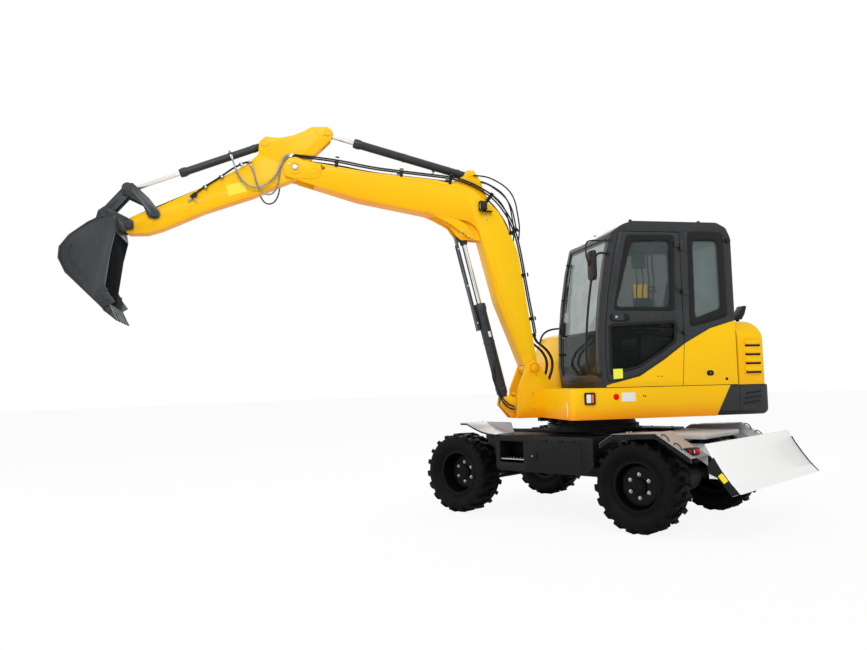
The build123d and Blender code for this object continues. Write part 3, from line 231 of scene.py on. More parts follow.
# shader groups
def newGroup(name, inputs):
    group = bpy.data.node_groups.new(name, "ShaderNodeTree")
    for label, value in inputs:
        kind = "NodeSocketColor" if isinstance(value, tuple) else "NodeSocketFloat"
        socket = group.interface.new_socket(label, in_out="INPUT", socket_type=kind)
        socket.default_value = value
    for label, kind in (("Color", "Color"), ("Roughness", "Float"), ("Height", "Float")):
        group.interface.new_socket(label, in_out="OUTPUT", socket_type="NodeSocket" + kind)
    start = group.nodes.new("NodeGroupInput")
    end = group.nodes.new("NodeGroupOutput")
    return group, start.outputs, end.inputs


def addNode(tree, kind, links=(), **values):
    # values whose name starts with a capital are sockets, the others are settings of the node
    node = tree.nodes.new(kind)
    for key, value in values.items():
        if key[0].isupper():
            node.inputs[key.replace("_", " ")].default_value = value
        else:
            setattr(node, key, value)
    for source, target in links:
        tree.links.new(source, node.inputs[target])
    return node


def reckon(tree, operation, first, second, clamp=False):
    node = addNode(tree, "ShaderNodeMath", [(first, 0)], operation=operation, use_clamp=clamp)
    if isinstance(second, float):
        node.inputs[1].default_value = second
    else:
        tree.links.new(second, node.inputs[1])
    return node.outputs[0]


def ranged(tree, source, **ends):
    return addNode(tree, "ShaderNodeMapRange", [(source, "Value")], **ends).outputs["Result"]


def speckle(tree, place, links=(), **values):
    return addNode(tree, "ShaderNodeTexNoise", [(place, "Vector"), *links], **values).outputs["Fac"]


def mixed(tree, factor, first, second):
    node = addNode(tree, "ShaderNodeMix", [(factor, "Factor"), (first, "A")], data_type="RGBA")
    if isinstance(second, tuple):
        node.inputs["B"].default_value = second
    else:
        tree.links.new(second, node.inputs["B"])
    return node.outputs["Result"]


def upShare(tree, source):
    return addNode(tree, "ShaderNodeSeparateXYZ", [(source, "Vector")]).outputs["Z"]


def paintGroup():
    # painted shade on faces that look down, in a slow drift over a panel; fine dust, and the faint ripple of
    # sprayed paint
    group, given, result = newGroup("sprayedPaint", (
        ("Color", (0.8, 0.8, 0.8, 1)), ("ShadeColor", (0.7, 0.7, 0.7, 1)), ("Gloss", 0.35), ("Dust", 0.1),
        ("Low", -90.0), ("Reach", 0.1)))
    place = addNode(group, "ShaderNodeTexCoord").outputs["Object"]
    drift = speckle(group, place, Scale=1.3, Detail=3.0)
    fine = speckle(group, place, Scale=26.0, Detail=4.0)
    ripple = speckle(group, place, Scale=420.0, Detail=1.0)
    normal = addNode(group, "ShaderNodeNewGeometry").outputs["Normal"]
    under = ranged(group, upShare(group, normal), From_Min=0.15, From_Max=-0.9)
    shade = reckon(group, "MULTIPLY", reckon(group, "MULTIPLY", under, drift), 1.5)
    # a band at the foot of a piece takes the painted shade too
    above = reckon(group, "SUBTRACT", upShare(group, place), given["Low"])
    foot = ranged(group, reckon(group, "DIVIDE", above, given["Reach"]), To_Min=0.85, To_Max=0.0)
    either = reckon(group, "MAXIMUM", shade, foot, True)
    dust = reckon(group, "MULTIPLY", ranged(group, fine, From_Min=0.45, From_Max=0.85), given["Dust"])
    painted = mixed(group, either, given["Color"], given["ShadeColor"])
    group.links.new(mixed(group, dust, painted, (0.42, 0.40, 0.36, 1)), result["Color"])
    group.links.new(reckon(group, "ADD", given["Gloss"], dust), result["Roughness"])
    group.links.new(ripple, result["Height"])
    return group


def speckGroup():
    # mottled surface of moulded rubber, cast iron or plastic
    group, given, result = newGroup("mottledSkin", (
        ("Color", (0.03, 0.03, 0.03, 1)), ("Pale", (0.1, 0.1, 0.1, 1)), ("Amount", 0.3), ("Grain", 90.0),
        ("Roughness", 0.6), ("Wobble", 0.08)))
    place = addNode(group, "ShaderNodeTexCoord").outputs["Object"]
    broad = speckle(group, place, Scale=7.0, Detail=5.0)
    grain = speckle(group, place, [(given["Grain"], "Scale")], Detail=4.0)
    amount = reckon(group, "MULTIPLY", ranged(group, broad, From_Min=0.4, From_Max=0.75), given["Amount"])
    wobble = reckon(group, "MULTIPLY", ranged(group, grain, To_Min=-1.0, To_Max=1.0), given["Wobble"])
    group.links.new(mixed(group, amount, given["Color"], given["Pale"]), result["Color"])
    group.links.new(reckon(group, "ADD", given["Roughness"], wobble), result["Roughness"])
    group.links.new(grain, result["Height"])
    return group


sprayedPaint = paintGroup()
mottledSkin = speckGroup()


def newMaterial(name):
    material = bpy.data.materials.new(name)
    material.use_nodes = True
    return material, material.node_tree, material.node_tree.nodes["Principled BSDF"].inputs


def grouped(name, group, sockets, bump, values):
    material, tree, shader = newMaterial(name)
    for key, value in values.items():
        shader[key.replace("_", " ")].default_value = value
    look = addNode(tree, "ShaderNodeGroup", node_tree=group)
    for key, value in sockets.items():
        look.inputs[key].default_value = value
    tree.links.new(look.outputs["Color"], shader["Base Color"])
    tree.links.new(look.outputs["Roughness"], shader["Roughness"])
    if bump:
        relief = addNode(tree, "ShaderNodeBump", [(look.outputs["Height"], "Height")], Strength=bump,
                         Distance=0.002)
        tree.links.new(relief.outputs["Normal"], shader["Normal"])
    return material


def paint(name, color, shadeTone, gloss=0.32, dust=0.03, coat=0.5, bump=0.02, specular=0.5, low=-90.0, reach=0.1):
    # the second colour is painted shade, on faces that look down and in the band at the foot
    sockets = {"Color": (*color, 1), "ShadeColor": (*shadeTone, 1), "Gloss": gloss, "Dust": dust, "Low": low,
               "Reach": reach}
    values = {"Coat_Weight": coat, "Coat_Roughness": 0.12, "Specular_IOR_Level": specular}
    return grouped(name, sprayedPaint, sockets, bump, values)


def moulded(name, color, pale, amount=0.25, grain=90.0, roughness=0.6, bump=0.15, wobble=0.08, **values):
    sockets = {"Color": (*color, 1), "Pale": (*pale, 1), "Amount": amount, "Grain": grain,
               "Roughness": roughness, "Wobble": wobble}
    return grouped(name, mottledSkin, sockets, bump, values)


def glazing(name, color, pale, cover, specular=0.5):
    # tinted panes let light through by cover, so that the cab is lit inside
    return moulded(name, color, pale, 0.6, 3, 0.03, 0, 0.01, Alpha=cover, Specular_IOR_Level=specular)


looks = {
    "yellow": paint("yellowPaint", (0.98, 0.575, 0.001), (0.98, 0.32, 0.001), 0.34, coat=0.04, specular=0.14),
    # the deck's paint also lays its painted shade in a band at its foot
    "deckYellow": paint("deckYellowPaint", (0.98, 0.55, 0.001), (0.98, 0.26, 0.001), 0.34, coat=0.04,
                        specular=0.14, low=0.985, reach=0.14),
    "fender": paint("fenderPaint", (0.40, 0.385, 0.39), (0.14, 0.14, 0.14), 0.34, coat=0.2, specular=0.4),
    "bladeWhite": paint("bladePaint", (0.95, 0.95, 0.945), (0.5, 0.5, 0.5), 0.4, dust=0.02, coat=0.1,
                        specular=0.4),
    "orange": paint("orangePaint", (0.97, 0.34, 0.001), (0.95, 0.2, 0.001), 0.34, coat=0.04, specular=0.14),
    "charcoal": paint("charcoalPaint", (0.020, 0.0235, 0.0255), (0.010, 0.011, 0.012), 0.36, coat=0.08,
                      specular=0.3),
    "slate": paint("slatePaint", (0.028, 0.034, 0.038), (0.014, 0.017, 0.019), 0.38, coat=0.1,
                   specular=0.3),
    "black": paint("blackPaint", (0.006, 0.006, 0.0065), (0.004, 0.004, 0.004), 0.5, dust=0.01, coat=0.0,
                   specular=0.2),
    "rim": paint("rimPaint", (0.002, 0.002, 0.0022), (0.0015, 0.0015, 0.0015), 0.45, dust=0.003, coat=0.02,
                 specular=0.1),
    "box": paint("boxPaint", (0.005, 0.0054, 0.006), (0.003, 0.003, 0.003), 0.42, dust=0.01, coat=0.03,
                 specular=0.15),
    "gloss": paint("blackGlassEdge", (0.005, 0.005, 0.006), (0.004, 0.004, 0.004), 0.14, dust=0.005, coat=0.0,
                   bump=0.0, specular=0.25),
    "pale": paint("palePaint", (0.60, 0.60, 0.59), (0.32, 0.32, 0.32), 0.36, coat=0.15, specular=0.4),
    "steel": moulded("bareSteel", (0.42, 0.42, 0.42), (0.62, 0.61, 0.60), 0.4, 160, 0.32, 0.05, Metallic=0.9),
    "darkSteel": moulded("wornSteel", (0.05, 0.052, 0.055), (0.22, 0.22, 0.21), 0.6, 60, 0.45, 0.2,
                         Metallic=0.6),
    "chrome": moulded("polishedRod", (0.80, 0.81, 0.83), (0.88, 0.88, 0.9), 0.5, 12, 0.08, 0, 0.02,
                      Metallic=1.0),
    "mirror": moulded("mirrorGlass", (0.72, 0.75, 0.77), (0.8, 0.82, 0.84), 0.5, 6, 0.03, 0, 0.01,
                      Metallic=1.0),
    "glass": glazing("tintedGlass", (0.10, 0.15, 0.145), (0.16, 0.22, 0.215), 0.6),
    # the pale colour of this pane is a painted reflection
    "paleReflectionGlass": glazing("paleReflectionGlass", (0.34, 0.42, 0.43), (0.50, 0.57, 0.58), 0.8),
    "doorGlass": glazing("doorGlass", (0.05, 0.08, 0.076), (0.09, 0.13, 0.125), 0.45),
    "darkGlass": glazing("darkGlass", (0.004, 0.007, 0.0065), (0.01, 0.014, 0.013), 0.3, 0.2),
    "tyre": moulded("tyreRubber", (0.0022, 0.0022, 0.0024), (0.007, 0.0068, 0.0065), 0.5, 60, 0.6, 0.3,
                    Specular_IOR_Level=0.1),
    "hose": moulded("hoseRubber", (0.006, 0.006, 0.0065), (0.014, 0.014, 0.014), 0.3, 200, 0.42, 0.1,
                    Specular_IOR_Level=0.25),
    "braid": moulded("braidedHose", (0.20, 0.215, 0.22), (0.42, 0.44, 0.45), 0.6, 420, 0.4, 0.4,
                     Metallic=0.5),
    "brown": moulded("brownHose", (0.09, 0.055, 0.035), (0.15, 0.10, 0.07), 0.4, 300, 0.45, 0.15),
    "plastic": moulded("blackPlastic", (0.008, 0.008, 0.009), (0.015, 0.015, 0.015), 0.2, 300, 0.45, 0.2,
                       Specular_IOR_Level=0.25),
    "seat": moulded("seatCloth", (0.10, 0.13, 0.125), (0.20, 0.24, 0.23), 0.5, 400, 0.85, 0.5,
                    Sheen_Weight=0.3),
    "greenCloth": moulded("greenCloth", (0.006, 0.06, 0.04), (0.03, 0.14, 0.09), 0.6, 120, 0.7, 0.3),
    "red": moulded("redLens", (0.80, 0.001, 0.001), (0.86, 0.004, 0.003), 0.3, 80, 0.3, 0.1, 0.02,
                   Specular_IOR_Level=0.1),
    "amber": moulded("amberLens", (0.80, 0.09, 0.006), (0.85, 0.18, 0.01), 0.3, 80, 0.15, 0.1, 0.02,
                     Coat_Weight=0.6),
    "clear": moulded("clearLens", (0.80, 0.81, 0.81), (0.92, 0.92, 0.92), 0.4, 70, 0.12, 0.1, 0.02,
                     Coat_Weight=0.6),
    "sticker": moulded("blankSticker", (0.90, 0.72, 0.0), (0.93, 0.78, 0.02), 0.4, 30, 0.35, 0, 0.03),
    # the papers' faint orange glow is painted light; they are no lamp
    "glowCard": moulded("glowingPaperCard", (0.95, 0.70, 0.002), (0.98, 0.76, 0.01), 0.4, 30, 0.5, 0, 0.02,
                    Emission_Color=(1.0, 0.6, 0.0, 1), Emission_Strength=0.7),
    "lime": moulded("limeSticker", (0.90, 0.90, 0.04), (0.92, 0.92, 0.08), 0.4, 30, 0.35, 0, 0.03),
}
print("materials made")


def finishPlain(node, look):
    piece = nodes[node]
    piece.data.materials.clear()
    piece.data.materials.append(looks[look])


def upperPoint(vert):
    # a point of the frame as (forward, left, up) of the cab, in mm
    x, y, z = vert.co * 1000
    turn, lean = math.cos(slewTurn), math.sin(slewTurn)
    return x * turn + y * lean, y * turn - x * lean, z


def roofRim(item):
    (u1, v1, z1), (u2, v2, z2) = (upperPoint(vert) for vert in item.verts)
    if min(z1, z2) < 2690:
        return False
    return abs(v1 - v2) > 900 and (z1 > 2795 or u1 > 100 or u1 < -1080)


def weightRim(item):
    points = [upperPoint(vert) for vert in item.verts]
    return all(abs(z - 985) < 1 and u < -856 and not (u > -860 and abs(v) < 930) for u, v, z in points)


# larger roundings than the plate's own: node, which edges, radius in mm
bigRounds = {"cab_shell": (roofRim, 55), "counterweight": (weightRim, 80)}


def softCopy(node, look, radius):
    # the node's own form with soft edges, as pressed and welded plate has
    bm = bmesh.new()
    bm.from_mesh(nodes[node].data)
    bmesh.ops.remove_doubles(bm, verts=bm.verts, dist=0.00002)
    bmesh.ops.dissolve_limit(bm, angle_limit=math.radians(0.8), verts=bm.verts, edges=bm.edges)
    if node in bigRounds:
        picks, size = bigRounds[node]
        rim = [item for item in bm.edges if picks(item)]
        bmesh.ops.bevel(bm, geom=rim, offset=size / 1000, segments=5, affect="EDGES", profile=0.5,
                        material=-1, clamp_overlap=True)
    for face in bm.faces:
        face.smooth = True
    mesh = bpy.data.meshes.new(node + "Plate")
    bm.to_mesh(mesh)
    bm.free()
    mesh.materials.append(looks[look])
    piece = bpy.data.objects.new(node + "Plate", mesh)
    bpy.context.scene.collection.objects.link(piece)
    rounding = piece.modifiers.new("edges", "BEVEL")
    rounding.width = radius / 1000
    rounding.segments = 2
    rounding.limit_method = "ANGLE"
    rounding.angle_limit = math.radians(32)
    rounding.harden_normals = True
    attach(piece, bodyOf[node])
    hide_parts(node)


# plates and castings: node, look, edge radius in mm
softEdges = (
    ("boom", "yellow", 4), ("arm", "yellow", 4), ("platform", "deckYellow", 8), ("side_panel", "yellow", 4),
    ("right_cover", "yellow", 8), ("rear_hood", "yellow", 5), ("counterweight", "charcoal", 14),
    ("cab_shell", "charcoal", 9), ("cab_door", "charcoal", 6), ("bucket", "slate", 3),
    ("tipping_levers", "slate", 3), ("bucket_link", "slate", 4), ("blade", "bladeWhite", 3),
    ("rear_fenders", "fender", 2), ("front_fenders", "fender", 1.5), ("rear_cover", "pale", 3),
    ("side_boxes", "box", 5), ("chassis_frame", "black", 5), ("front_axle", "black", 5),
    ("rear_axle", "black", 5), ("boom_cylinder_barrel", "slate", 3), ("arm_cylinder_barrel", "slate", 3),
    ("bucket_cylinder_barrel", "slate", 3), ("blade_cylinder_barrel", "slate", 2),
    ("knuckle_left", "black", 4), ("knuckle_right", "black", 4), ("driveline", "black", 4),
    ("engine_block", "black", 8), ("seat_base", "plastic", 8), ("slew_ring", "black", 3),
)
for node, look, radius in softEdges:
    softCopy(node, look, radius)
for node, look in (("arm_cylinder_rod", "chrome"), ("bucket_cylinder_rod", "chrome"), ("tie_rod", "black"),
                   ("blade_cylinder_rod", "chrome"), ("cab_glass", "glass"), ("arm_pipes", "black"),
                   ("cab_controls", "plastic")):
    finishPlain(node, look)
print("plates rounded")


# tyres, drawn with the axle along local Z (out of the machine) and local Y ahead
tyreShape = {
    "lugs": 19, "reach": 52, "bend": 58, "width": 47, "lugTop": 410, "rootRadius": 372, "shoulderDrop": 13,
    "carcass": ((212, 96), (222, 104), (240, 104), (246, 112), (252, 111), (282, 140), (300, 150),
                (328, 154.5), (356, 152), (374, 138), (383, 112), (386, 60), (387, 0)),
}
halfTyre = 155
lugStand = 180 / tyreShape["lugs"] - math.degrees(math.asin(tyreShape["reach"] / tyreShape["lugTop"]))


def lugShape(row):
    # one swept lug at the top of the wheel: two quads that share the bend, then grown and softened
    shape = tyreShape
    bm = bmesh.new()
    reach, bend, low = shape["reach"], shape["bend"], shape["reach"] - shape["width"]
    outline = ((-10, reach), (bend, reach), (halfTyre - 2, -low), (halfTyre - 2, -reach), (bend, low),
               (-10, low))
    corners = [bm.verts.new((across, along, 0)) for across, along in outline]
    bm.faces.new((corners[0], corners[5], corners[4], corners[1]))
    bm.faces.new((corners[1], corners[4], corners[3], corners[2]))
    bmesh.ops.subdivide_edges(bm, edges=bm.edges, cuts=2, use_grid_fill=True)
    tips = grow(bm)
    for vert in bm.verts:
        shoulder = max(0.0, (abs(vert.co.x) - 105) / 50)
        if vert in tips:
            # tops follow the tread circle and fall off at the shoulder; walls lean in
            vert.co.y *= 0.93
            radius = shape["lugTop"] - 0.6 - shape["shoulderDrop"] * shoulder ** 2
        else:
            vert.co.y *= 1.07
            radius = shape["rootRadius"] - 60 * shoulder
        vert.co.z = math.sqrt(max(radius ** 2 - vert.co.y ** 2, 1))
    roundOff(bm, 4.5, lambda item: set(item.verts) <= tips and
             not all(set(face.verts) <= tips for face in item.link_faces))
    bmesh.ops.recalc_face_normals(bm, faces=bm.faces)
    # across becomes local Z, along becomes local Y ahead, up becomes local X
    swap = Matrix(((0, 0, 1, 0), (0, 1, 0, 0), (row, 0, 0, 0), (0, 0, 0, 1)))
    bmesh.ops.transform(bm, matrix=swap, verts=bm.verts)
    bmesh.ops.recalc_face_normals(bm, faces=bm.faces)
    return bm


def tyreMesh():
    half = tyreShape["carcass"]
    bm = turned([(radius, -height) for radius, height in half] +
                [(radius, height) for radius, height in reversed(half[:-1])] + [(212, -96)],
                4 * tyreShape["lugs"])
    for row, shift in ((1, 0), (-1, 0.5)):
        for count in range(tyreShape["lugs"]):
            angle = math.radians((count + shift) * 360 / tyreShape["lugs"] + lugStand)
            joinInto(bm, lugShape(row), Matrix.Rotation(angle, 4, "Z"))
    # a raised band on both walls
    for side in (1, -1):
        joinInto(bm, turned([(300, side * 149), (302, side * 153), (306, side * 154), (310, side * 151)], 76))
    mesh = bpy.data.meshes.new("tyreMaster")
    bm.to_mesh(mesh)
    bm.free()
    return mesh


# middle of the tyre from the machine's middle
track = 788


def wheelPlace(x, side):
    # local X up, local Y ahead, local Z to the left: the same sweep on both sides
    frameWise = Matrix(((0, 1, 0, x), (0, 0, 1, side * track), (1, 0, 0, 410), (0, 0, 0, 1)))
    return chassisPlace @ frameWise


# name, place of the axle, side, bolting face
wheels = (("front_left", 1115, 1, 777), ("front_right", 1115, -1, 777), ("rear_left", -965, 1, 835),
          ("rear_right", -965, -1, 835))
rimShape = {"lip": 228, "halfLip": 108, "hub": 66, "boltRing": 102.5, "bolt": 13}


def spinPlace(angle, spot, axis="Z"):
    # a spot that is turned about the axis, in degrees
    return Matrix.Rotation(math.radians(angle), 4, axis) @ Matrix.Translation(spot)


def rimMesh(discAt):
    # discAt: how far the bolting face stands out from the middle of the tyre
    shape = rimShape
    half = shape["halfLip"]
    bm = turned(((196, -half + 6), (204, -half), (shape["lip"] - 4, -half), (shape["lip"], -half + 4),
                 (shape["lip"] - 2, -half + 9), (212, -half + 10), (211.5, half - 10),
                 (shape["lip"] - 2, half - 9), (shape["lip"], half - 4), (shape["lip"] - 4, half),
                 (206, half), (201, half - 8), (198, 60), (198, -60), (196, -half + 6)), 64)
    inner, outer = discAt - 12, discAt
    joinInto(bm, turned(((201, inner - 26), (190, inner - 6), (168, inner), (150, inner + 3), (138, inner),
                         (shape["hub"], inner), (shape["hub"], outer), (138, outer), (150, outer + 3),
                         (170, outer), (192, outer - 10), (202, outer - 26), (201, inner - 26)), 64))
    if outer > half:
        joinInto(bm, turned(((186, half - 20), (186, outer - 14), (196, outer - 20), (200, half - 20),
                             (186, half - 20)), 64))
    # eight hand holes shown as dimples outside the ring of bolts
    for count in range(8):
        spot = spinPlace(45 * count + 22.5, (158, 0, outer - 1))
        joinInto(bm, turned(((0.01, 0.5), (9, 0.5), (12, 2.5), (14, 2.5), (16, 0)), 16), spot)
    return bm


def nutRing(discAt):
    bm = bmesh.new()
    for count in range(6):
        spot = (rimShape["boltRing"], 0, discAt + 0.2)
        joinInto(bm, bolt(rimShape["bolt"], 16, 1.3), spinPlace(60 * count, spot))
    return bm


def hubCap(discAt):
    # turned cap over the hub's end, with a plug, small bolts and the tyre's valve beside it
    bm = turned(((66.5, discAt - 4), (66.5, discAt + 14), (62, discAt + 20), (46, discAt + 22),
                 (44, discAt + 30), (20, discAt + 31), (18, discAt + 27), (0.01, discAt + 27)), 48)
    for count in range(8):
        joinInto(bm, bolt(4, 4), spinPlace(45 * count, (55, 0, discAt + 20)))
    joinInto(bm, disc(5, 34, 1, 14), Matrix.Translation((182, 20, discAt + 2)))
    return bm


master = tyreMesh()
for name, x, side, discY in wheels:
    place = wheelPlace(x, side)
    body, discAt = "wheel_" + name, discY - track
    draft.from_mesh(master)
    addPiece("tyre_" + name, body, "tyre", place, sharp=40, replaced=["tyre_" + name])
    outward = place if side > 0 else place @ Matrix.Rotation(math.pi, 4, "X")
    addPiece("rim_" + name, body, "rim", outward, rimMesh(discAt), 40, ["rim_" + name])
    addPiece("wheelNuts_" + name, body, "steel", outward, nutRing(discAt))
    addPiece("hubCap_" + name, body, "rim", outward, hubCap(discAt))
bpy.data.meshes.remove(master)
print("wheels made")


# boom: reinforcing plates, welds, pins and bolts
boomTrim = {"half": 105, "doubler": 3.0, "weld": 4.0}
# outlines in (forward, up)
elbowDoubler = ((1765, 3084), (1542, 3040), (1449, 3018), (1383, 2988), (1331, 2950), (1285, 2890),
                (1262, 2820), (1290, 2812), (1340, 2850), (1400, 2885), (1500, 2955), (1640, 3030))
forkDoubler = ((3105, 3590), (2985, 3562), (2880, 3545), (2800, 3528), (2775, 3505), (2806, 3450),
               (2800, 3415), (2840, 3390), (2950, 3385), (3060, 3382), (3150, 3400), (3163, 3487))


def weldPair(points, v, radius):
    for side in (1, -1):
        run([(u, side * v, z) for u, z in points], radius, 1, 4)


half = boomTrim["half"]
platePair(elbowDoubler, half - 1, boomTrim["doubler"] + 1, 12, 1.2)
platePair(forkDoubler, half - 1, boomTrim["doubler"] + 4, 22, 1.6)
# the arm's pin boss, and the lug plates of the rod's eye
putPair(turned(((62, 0), (62, 9), (58, 12), (40, 12), (38, 9), (36, 4)), 40), (3050, half + 3, 3487))
putPair(turned(((34, 0), (34, 7), (31, 9), (17, 9), (15, 7), (15, 3)), 32), (1365, 78, 2870))
addPiece("boomDoublers", "main_boom", "yellow")

for u, z, v, size in ((3110, 3520, half + 3, 9), (2862, 3452, half + 3, 7), (1379, 2884, half + 3, 8),
                      (1318, 2840, half + 3, 8), (1132, 3062, half, 8), (1121, 3022, half, 8)):
    putPair(bolt(size, size * 0.8), (u, v, z), 20)
putPair(disc(27, 5, 1.2, 32), (3050, half + 12, 3487))
addPiece("boomBolts", "main_boom", "steel")

# welds run where the side plates meet the top and belly plates, and round the lugs
for bead in (elbowDoubler[:8], forkDoubler[1:10]):
    weldPair(bead, half + boomTrim["doubler"], boomTrim["weld"])
for bead in (((740, 1600), (850, 1900), (905, 2060), (1000, 2400), (1080, 2660)),
             ((1700, 3085), (2100, 3150), (2421, 3213), (2760, 3300)),
             ((1420, 3330), (1640, 3388), (2000, 3420), (2320, 3450), (2760, 3512))):
    weldPair(bead, half + 0.6, 2.2)
addPiece("boomWelds", "main_boom", "yellow")
print("boom trimmed")


# arm: pin bosses, weld, blank sticker, hammer valve and its T handle
for u, z, v, size in ((3337, 3731, 80, 36), (2730, 3858, 84, 33)):
    boss = ((size, -2), (size, 5), (size - 3, 8), (size - 12, 8), (size - 14, 5), (0.01, 5))
    putPair(turned(boss, 36), (u, v, z))
putPair(bolt(7, 6), (3372, 80, 3708))
putPair(bolt(7, 6), (2764, 84, 3840))
weldPair(((2852, 3896), (2836, 3860), (2821, 3829), (2828, 3780), (2850, 3740), (2902, 3672)), 80.4, 3)
for bead in (((4620, 2900), (4424, 2845), (4292, 2884), (3900, 3062), (3451, 3228), (3200, 3336)),
             ((3430, 3560), (3529, 3478), (3911, 3258), (4326, 3049), (4540, 2962))):
    weldPair(bead, 80.4, 2.2)
addPiece("armBosses", "dipper", "yellow")

platePair(((3703, 3298), (3536, 3339), (3511, 3243), (3678, 3195)), 80.1, 0.6, 6)
addPiece("armStickers", "dipper", "sticker")

for radius, depth, edge, sides, u, z in ((13, 34, 2, 24, 3990, 3188), (18, 20, 2, 6, 4000, 3176),
                                         (11, 40, 2, 24, 4018, 3160), (15, 12, 1.5, 6, 4038, 3140)):
    put(disc(radius, depth, edge, sides), (0.7, 0, -0.72), (u, 96, z))
put(disc(5, 62, 1, 12), (-0.72, 0.1, -0.7), (4010, 100, 3166))
for u, z in ((3560, 3505), (3745, 3378), (3895, 3276)):
    put(bolt(8, 7), left, (u + 4, 112.5, z + 8))
    put(bolt(8, 7), left, (u - 6, 112.5, z - 10))
put(disc(13, 36, 2, 6), (0.8, 0, -0.6), (3462, 97, 3546))
addPiece("armValve", "dipper", "steel")


# dark pins of the levers and the bucket, each with a grease nipple and a keeper bolt:
# name, body, pins as (forward, up, half length, radius), where the bolt is from the pin
pinTable = (
    ("leverPins", "levers", ((4351, 3002, 118, 34), (4590, 3240, 106, 38)), (-24, -2, -20)),
    ("bucketPins", "shovel", ((4584, 2895, 118, 36), (4790, 3008, 118, 34)), (26, -4, 22)),
)
for name, body, pins, (ahead, out, up) in pinTable:
    for u, z, v, size in pins:
        boss = ((size, -3), (size, 4), (size - 4, 7), (14, 7), (12, 5), (7, 5), (6, 9), (0.01, 9))
        putPair(turned(boss, 36), (u, v, z))
        putPair(bolt(6, 5), (u + ahead, v + out, z + up))
    addPiece(name, body, "slate")
print("arm and linkage trimmed")


# bucket: worn tooth tips with their sockets, weld beads, bolts and two ribs down the back
bucketTrim = {"pitch": 145, "half": 335}
# name, look, width, rounding, outline
toothTable = (
    ("toothSockets", "slate", 66, 4,
     ((4794, 2142), (4768, 2174), (4694, 2112), (4668, 2060), (4700, 2040), (4746, 2066))),
    ("toothTips", "darkSteel", 46, 3,
     ((4700, 2104), (4690, 2114), (4640, 2000), (4634, 1984), (4646, 1982), (4712, 2050))),
)
for name, look, width, edge, outline in toothTable:
    for count in range(-2, 3):
        tooth = sidePlate(outline, count * bucketTrim["pitch"] - width / 2, width)
        roundOff(tooth, edge, folded)
        put(tooth)
    addPiece(name, "shovel", look)
weldPair(((4672, 2928), (4758, 2928), (4880, 2861), (5032, 2744), (5113, 2638), (5121, 2542), (5063, 2415),
          (4770, 2112)), bucketTrim["half"] + 0.5, 3.5)
weldPair(((5020, 2664), (5046, 2600), (5044, 2548), (5010, 2470), (4862, 2318)), bucketTrim["half"] + 0.5, 3)
for u, z in ((4722, 2252), (4752, 2206), (4708, 2172), (4764, 2150)):
    putPair(bolt(10, 8), (u, bucketTrim["half"] + 16, z))
for v in (-226, 226):
    put(sidePlate(((4890, 2862), (5040, 2752), (5124, 2640), (5132, 2540), (5120, 2512), (5112, 2640),
                   (5030, 2742), (4884, 2852)), v - 20, 40))
addPiece("bucketWelds", "shovel", "slate")
print("bucket trimmed")


# cylinders: gland nuts, bands, ports and their steel fittings
def ramMatrix(foot, eye):
    # local Z runs along the ram from its foot, local X to the left
    along = Vector((eye[0] - foot[0], 0, eye[1] - foot[1])).normalized()
    beside = Vector((0, 1, 0))
    above = along.cross(beside)
    return Matrix.Translation((foot[0], 0, foot[1])) @ Matrix((beside, above, along)).transposed().to_4x4()


quarterTurn = Matrix.Rotation(math.pi / 2, 4, "Y")
flatTurn = quarterTurn @ Matrix.Rotation(math.pi / 2, 4, "Z")
boomRam = ramMatrix((957, 1140), (1365, 2870))
# name, foot, eye, body, barrel radius, length, where its bands and ports are, side of the ports (degrees)
rams = (
    ("boomRam", (957, 1140), (1365, 2870), "boom_barrel", 56, 1046, (150, 640), (190, 935), 180),
    ("armRam", (1276, 3482), (2730, 3858), "arm_barrel", 42, 1225, (120, 700), (150, 370), -90),
    ("bucketRam", (3337, 3731), (4590, 3240), "bucket_barrel", 37, 858, (110, 350), (345,), 35),
)
for name, foot, eye, body, radius, length, bands, ports, side in rams:
    along = ramMatrix(foot, eye)
    put(turned(((radius - 4, length - 78), (radius + 6, length - 74), (radius + 6, length - 12),
                (radius + 2, length - 4), (radius - 16, length - 1), (radius - 17, length + 2),
                (radius - 19, length + 2)), 48), place=along)
    for spot in bands:
        put(turned(((radius, spot - 13), (radius + 3, spot - 11), (radius + 3, spot + 11),
                    (radius, spot + 13)), 48), place=along)
    for count in range(8):
        spot = spinPlace(45 * count, (radius + 4, 0, length - 43))
        put(plate(14, 26, 4, 3, 1), place=along @ spot @ flatTurn)
    for spot in ports:
        put(disc(17, 16, 2, 24), place=along @ spinPlace(side, (radius - 4, 0, spot)) @ quarterTurn)
    addPiece(name + "Gland", body, "slate")
    for spot in ports:
        port = along @ spinPlace(side, (radius + 11, 0, spot)) @ quarterTurn
        put(disc(13, 14, 1.5, 6), place=port)
        put(disc(8, 26, 1.5, 20), place=port)
    addPiece(name + "Ports", body, "steel")
# small blank plate on the boom ram
put(plate(26, 60, 1, 4, 0.4), place=boomRam @ Matrix.Translation((56.2, 12, 720)) @ flatTurn)
addPiece("ramPlate", "boom_barrel", "clear")
print("rams trimmed")


# boom cylinder's rod with the guard strip that rides on it
guardShape = {"outline": ((779, 66), (1705, 66), (1740, 12), (1777, 0), (1800, 30), (1780, 78), (779, 92)),
              "half": 38}


def guardPoint(along, away):
    # forward and up of a point beside the boom ram, which runs in the direction (ahead, up)
    ahead, up = 0.22953, 0.97330
    return 957 + along * ahead + away * up, 1140 + along * up - away * ahead


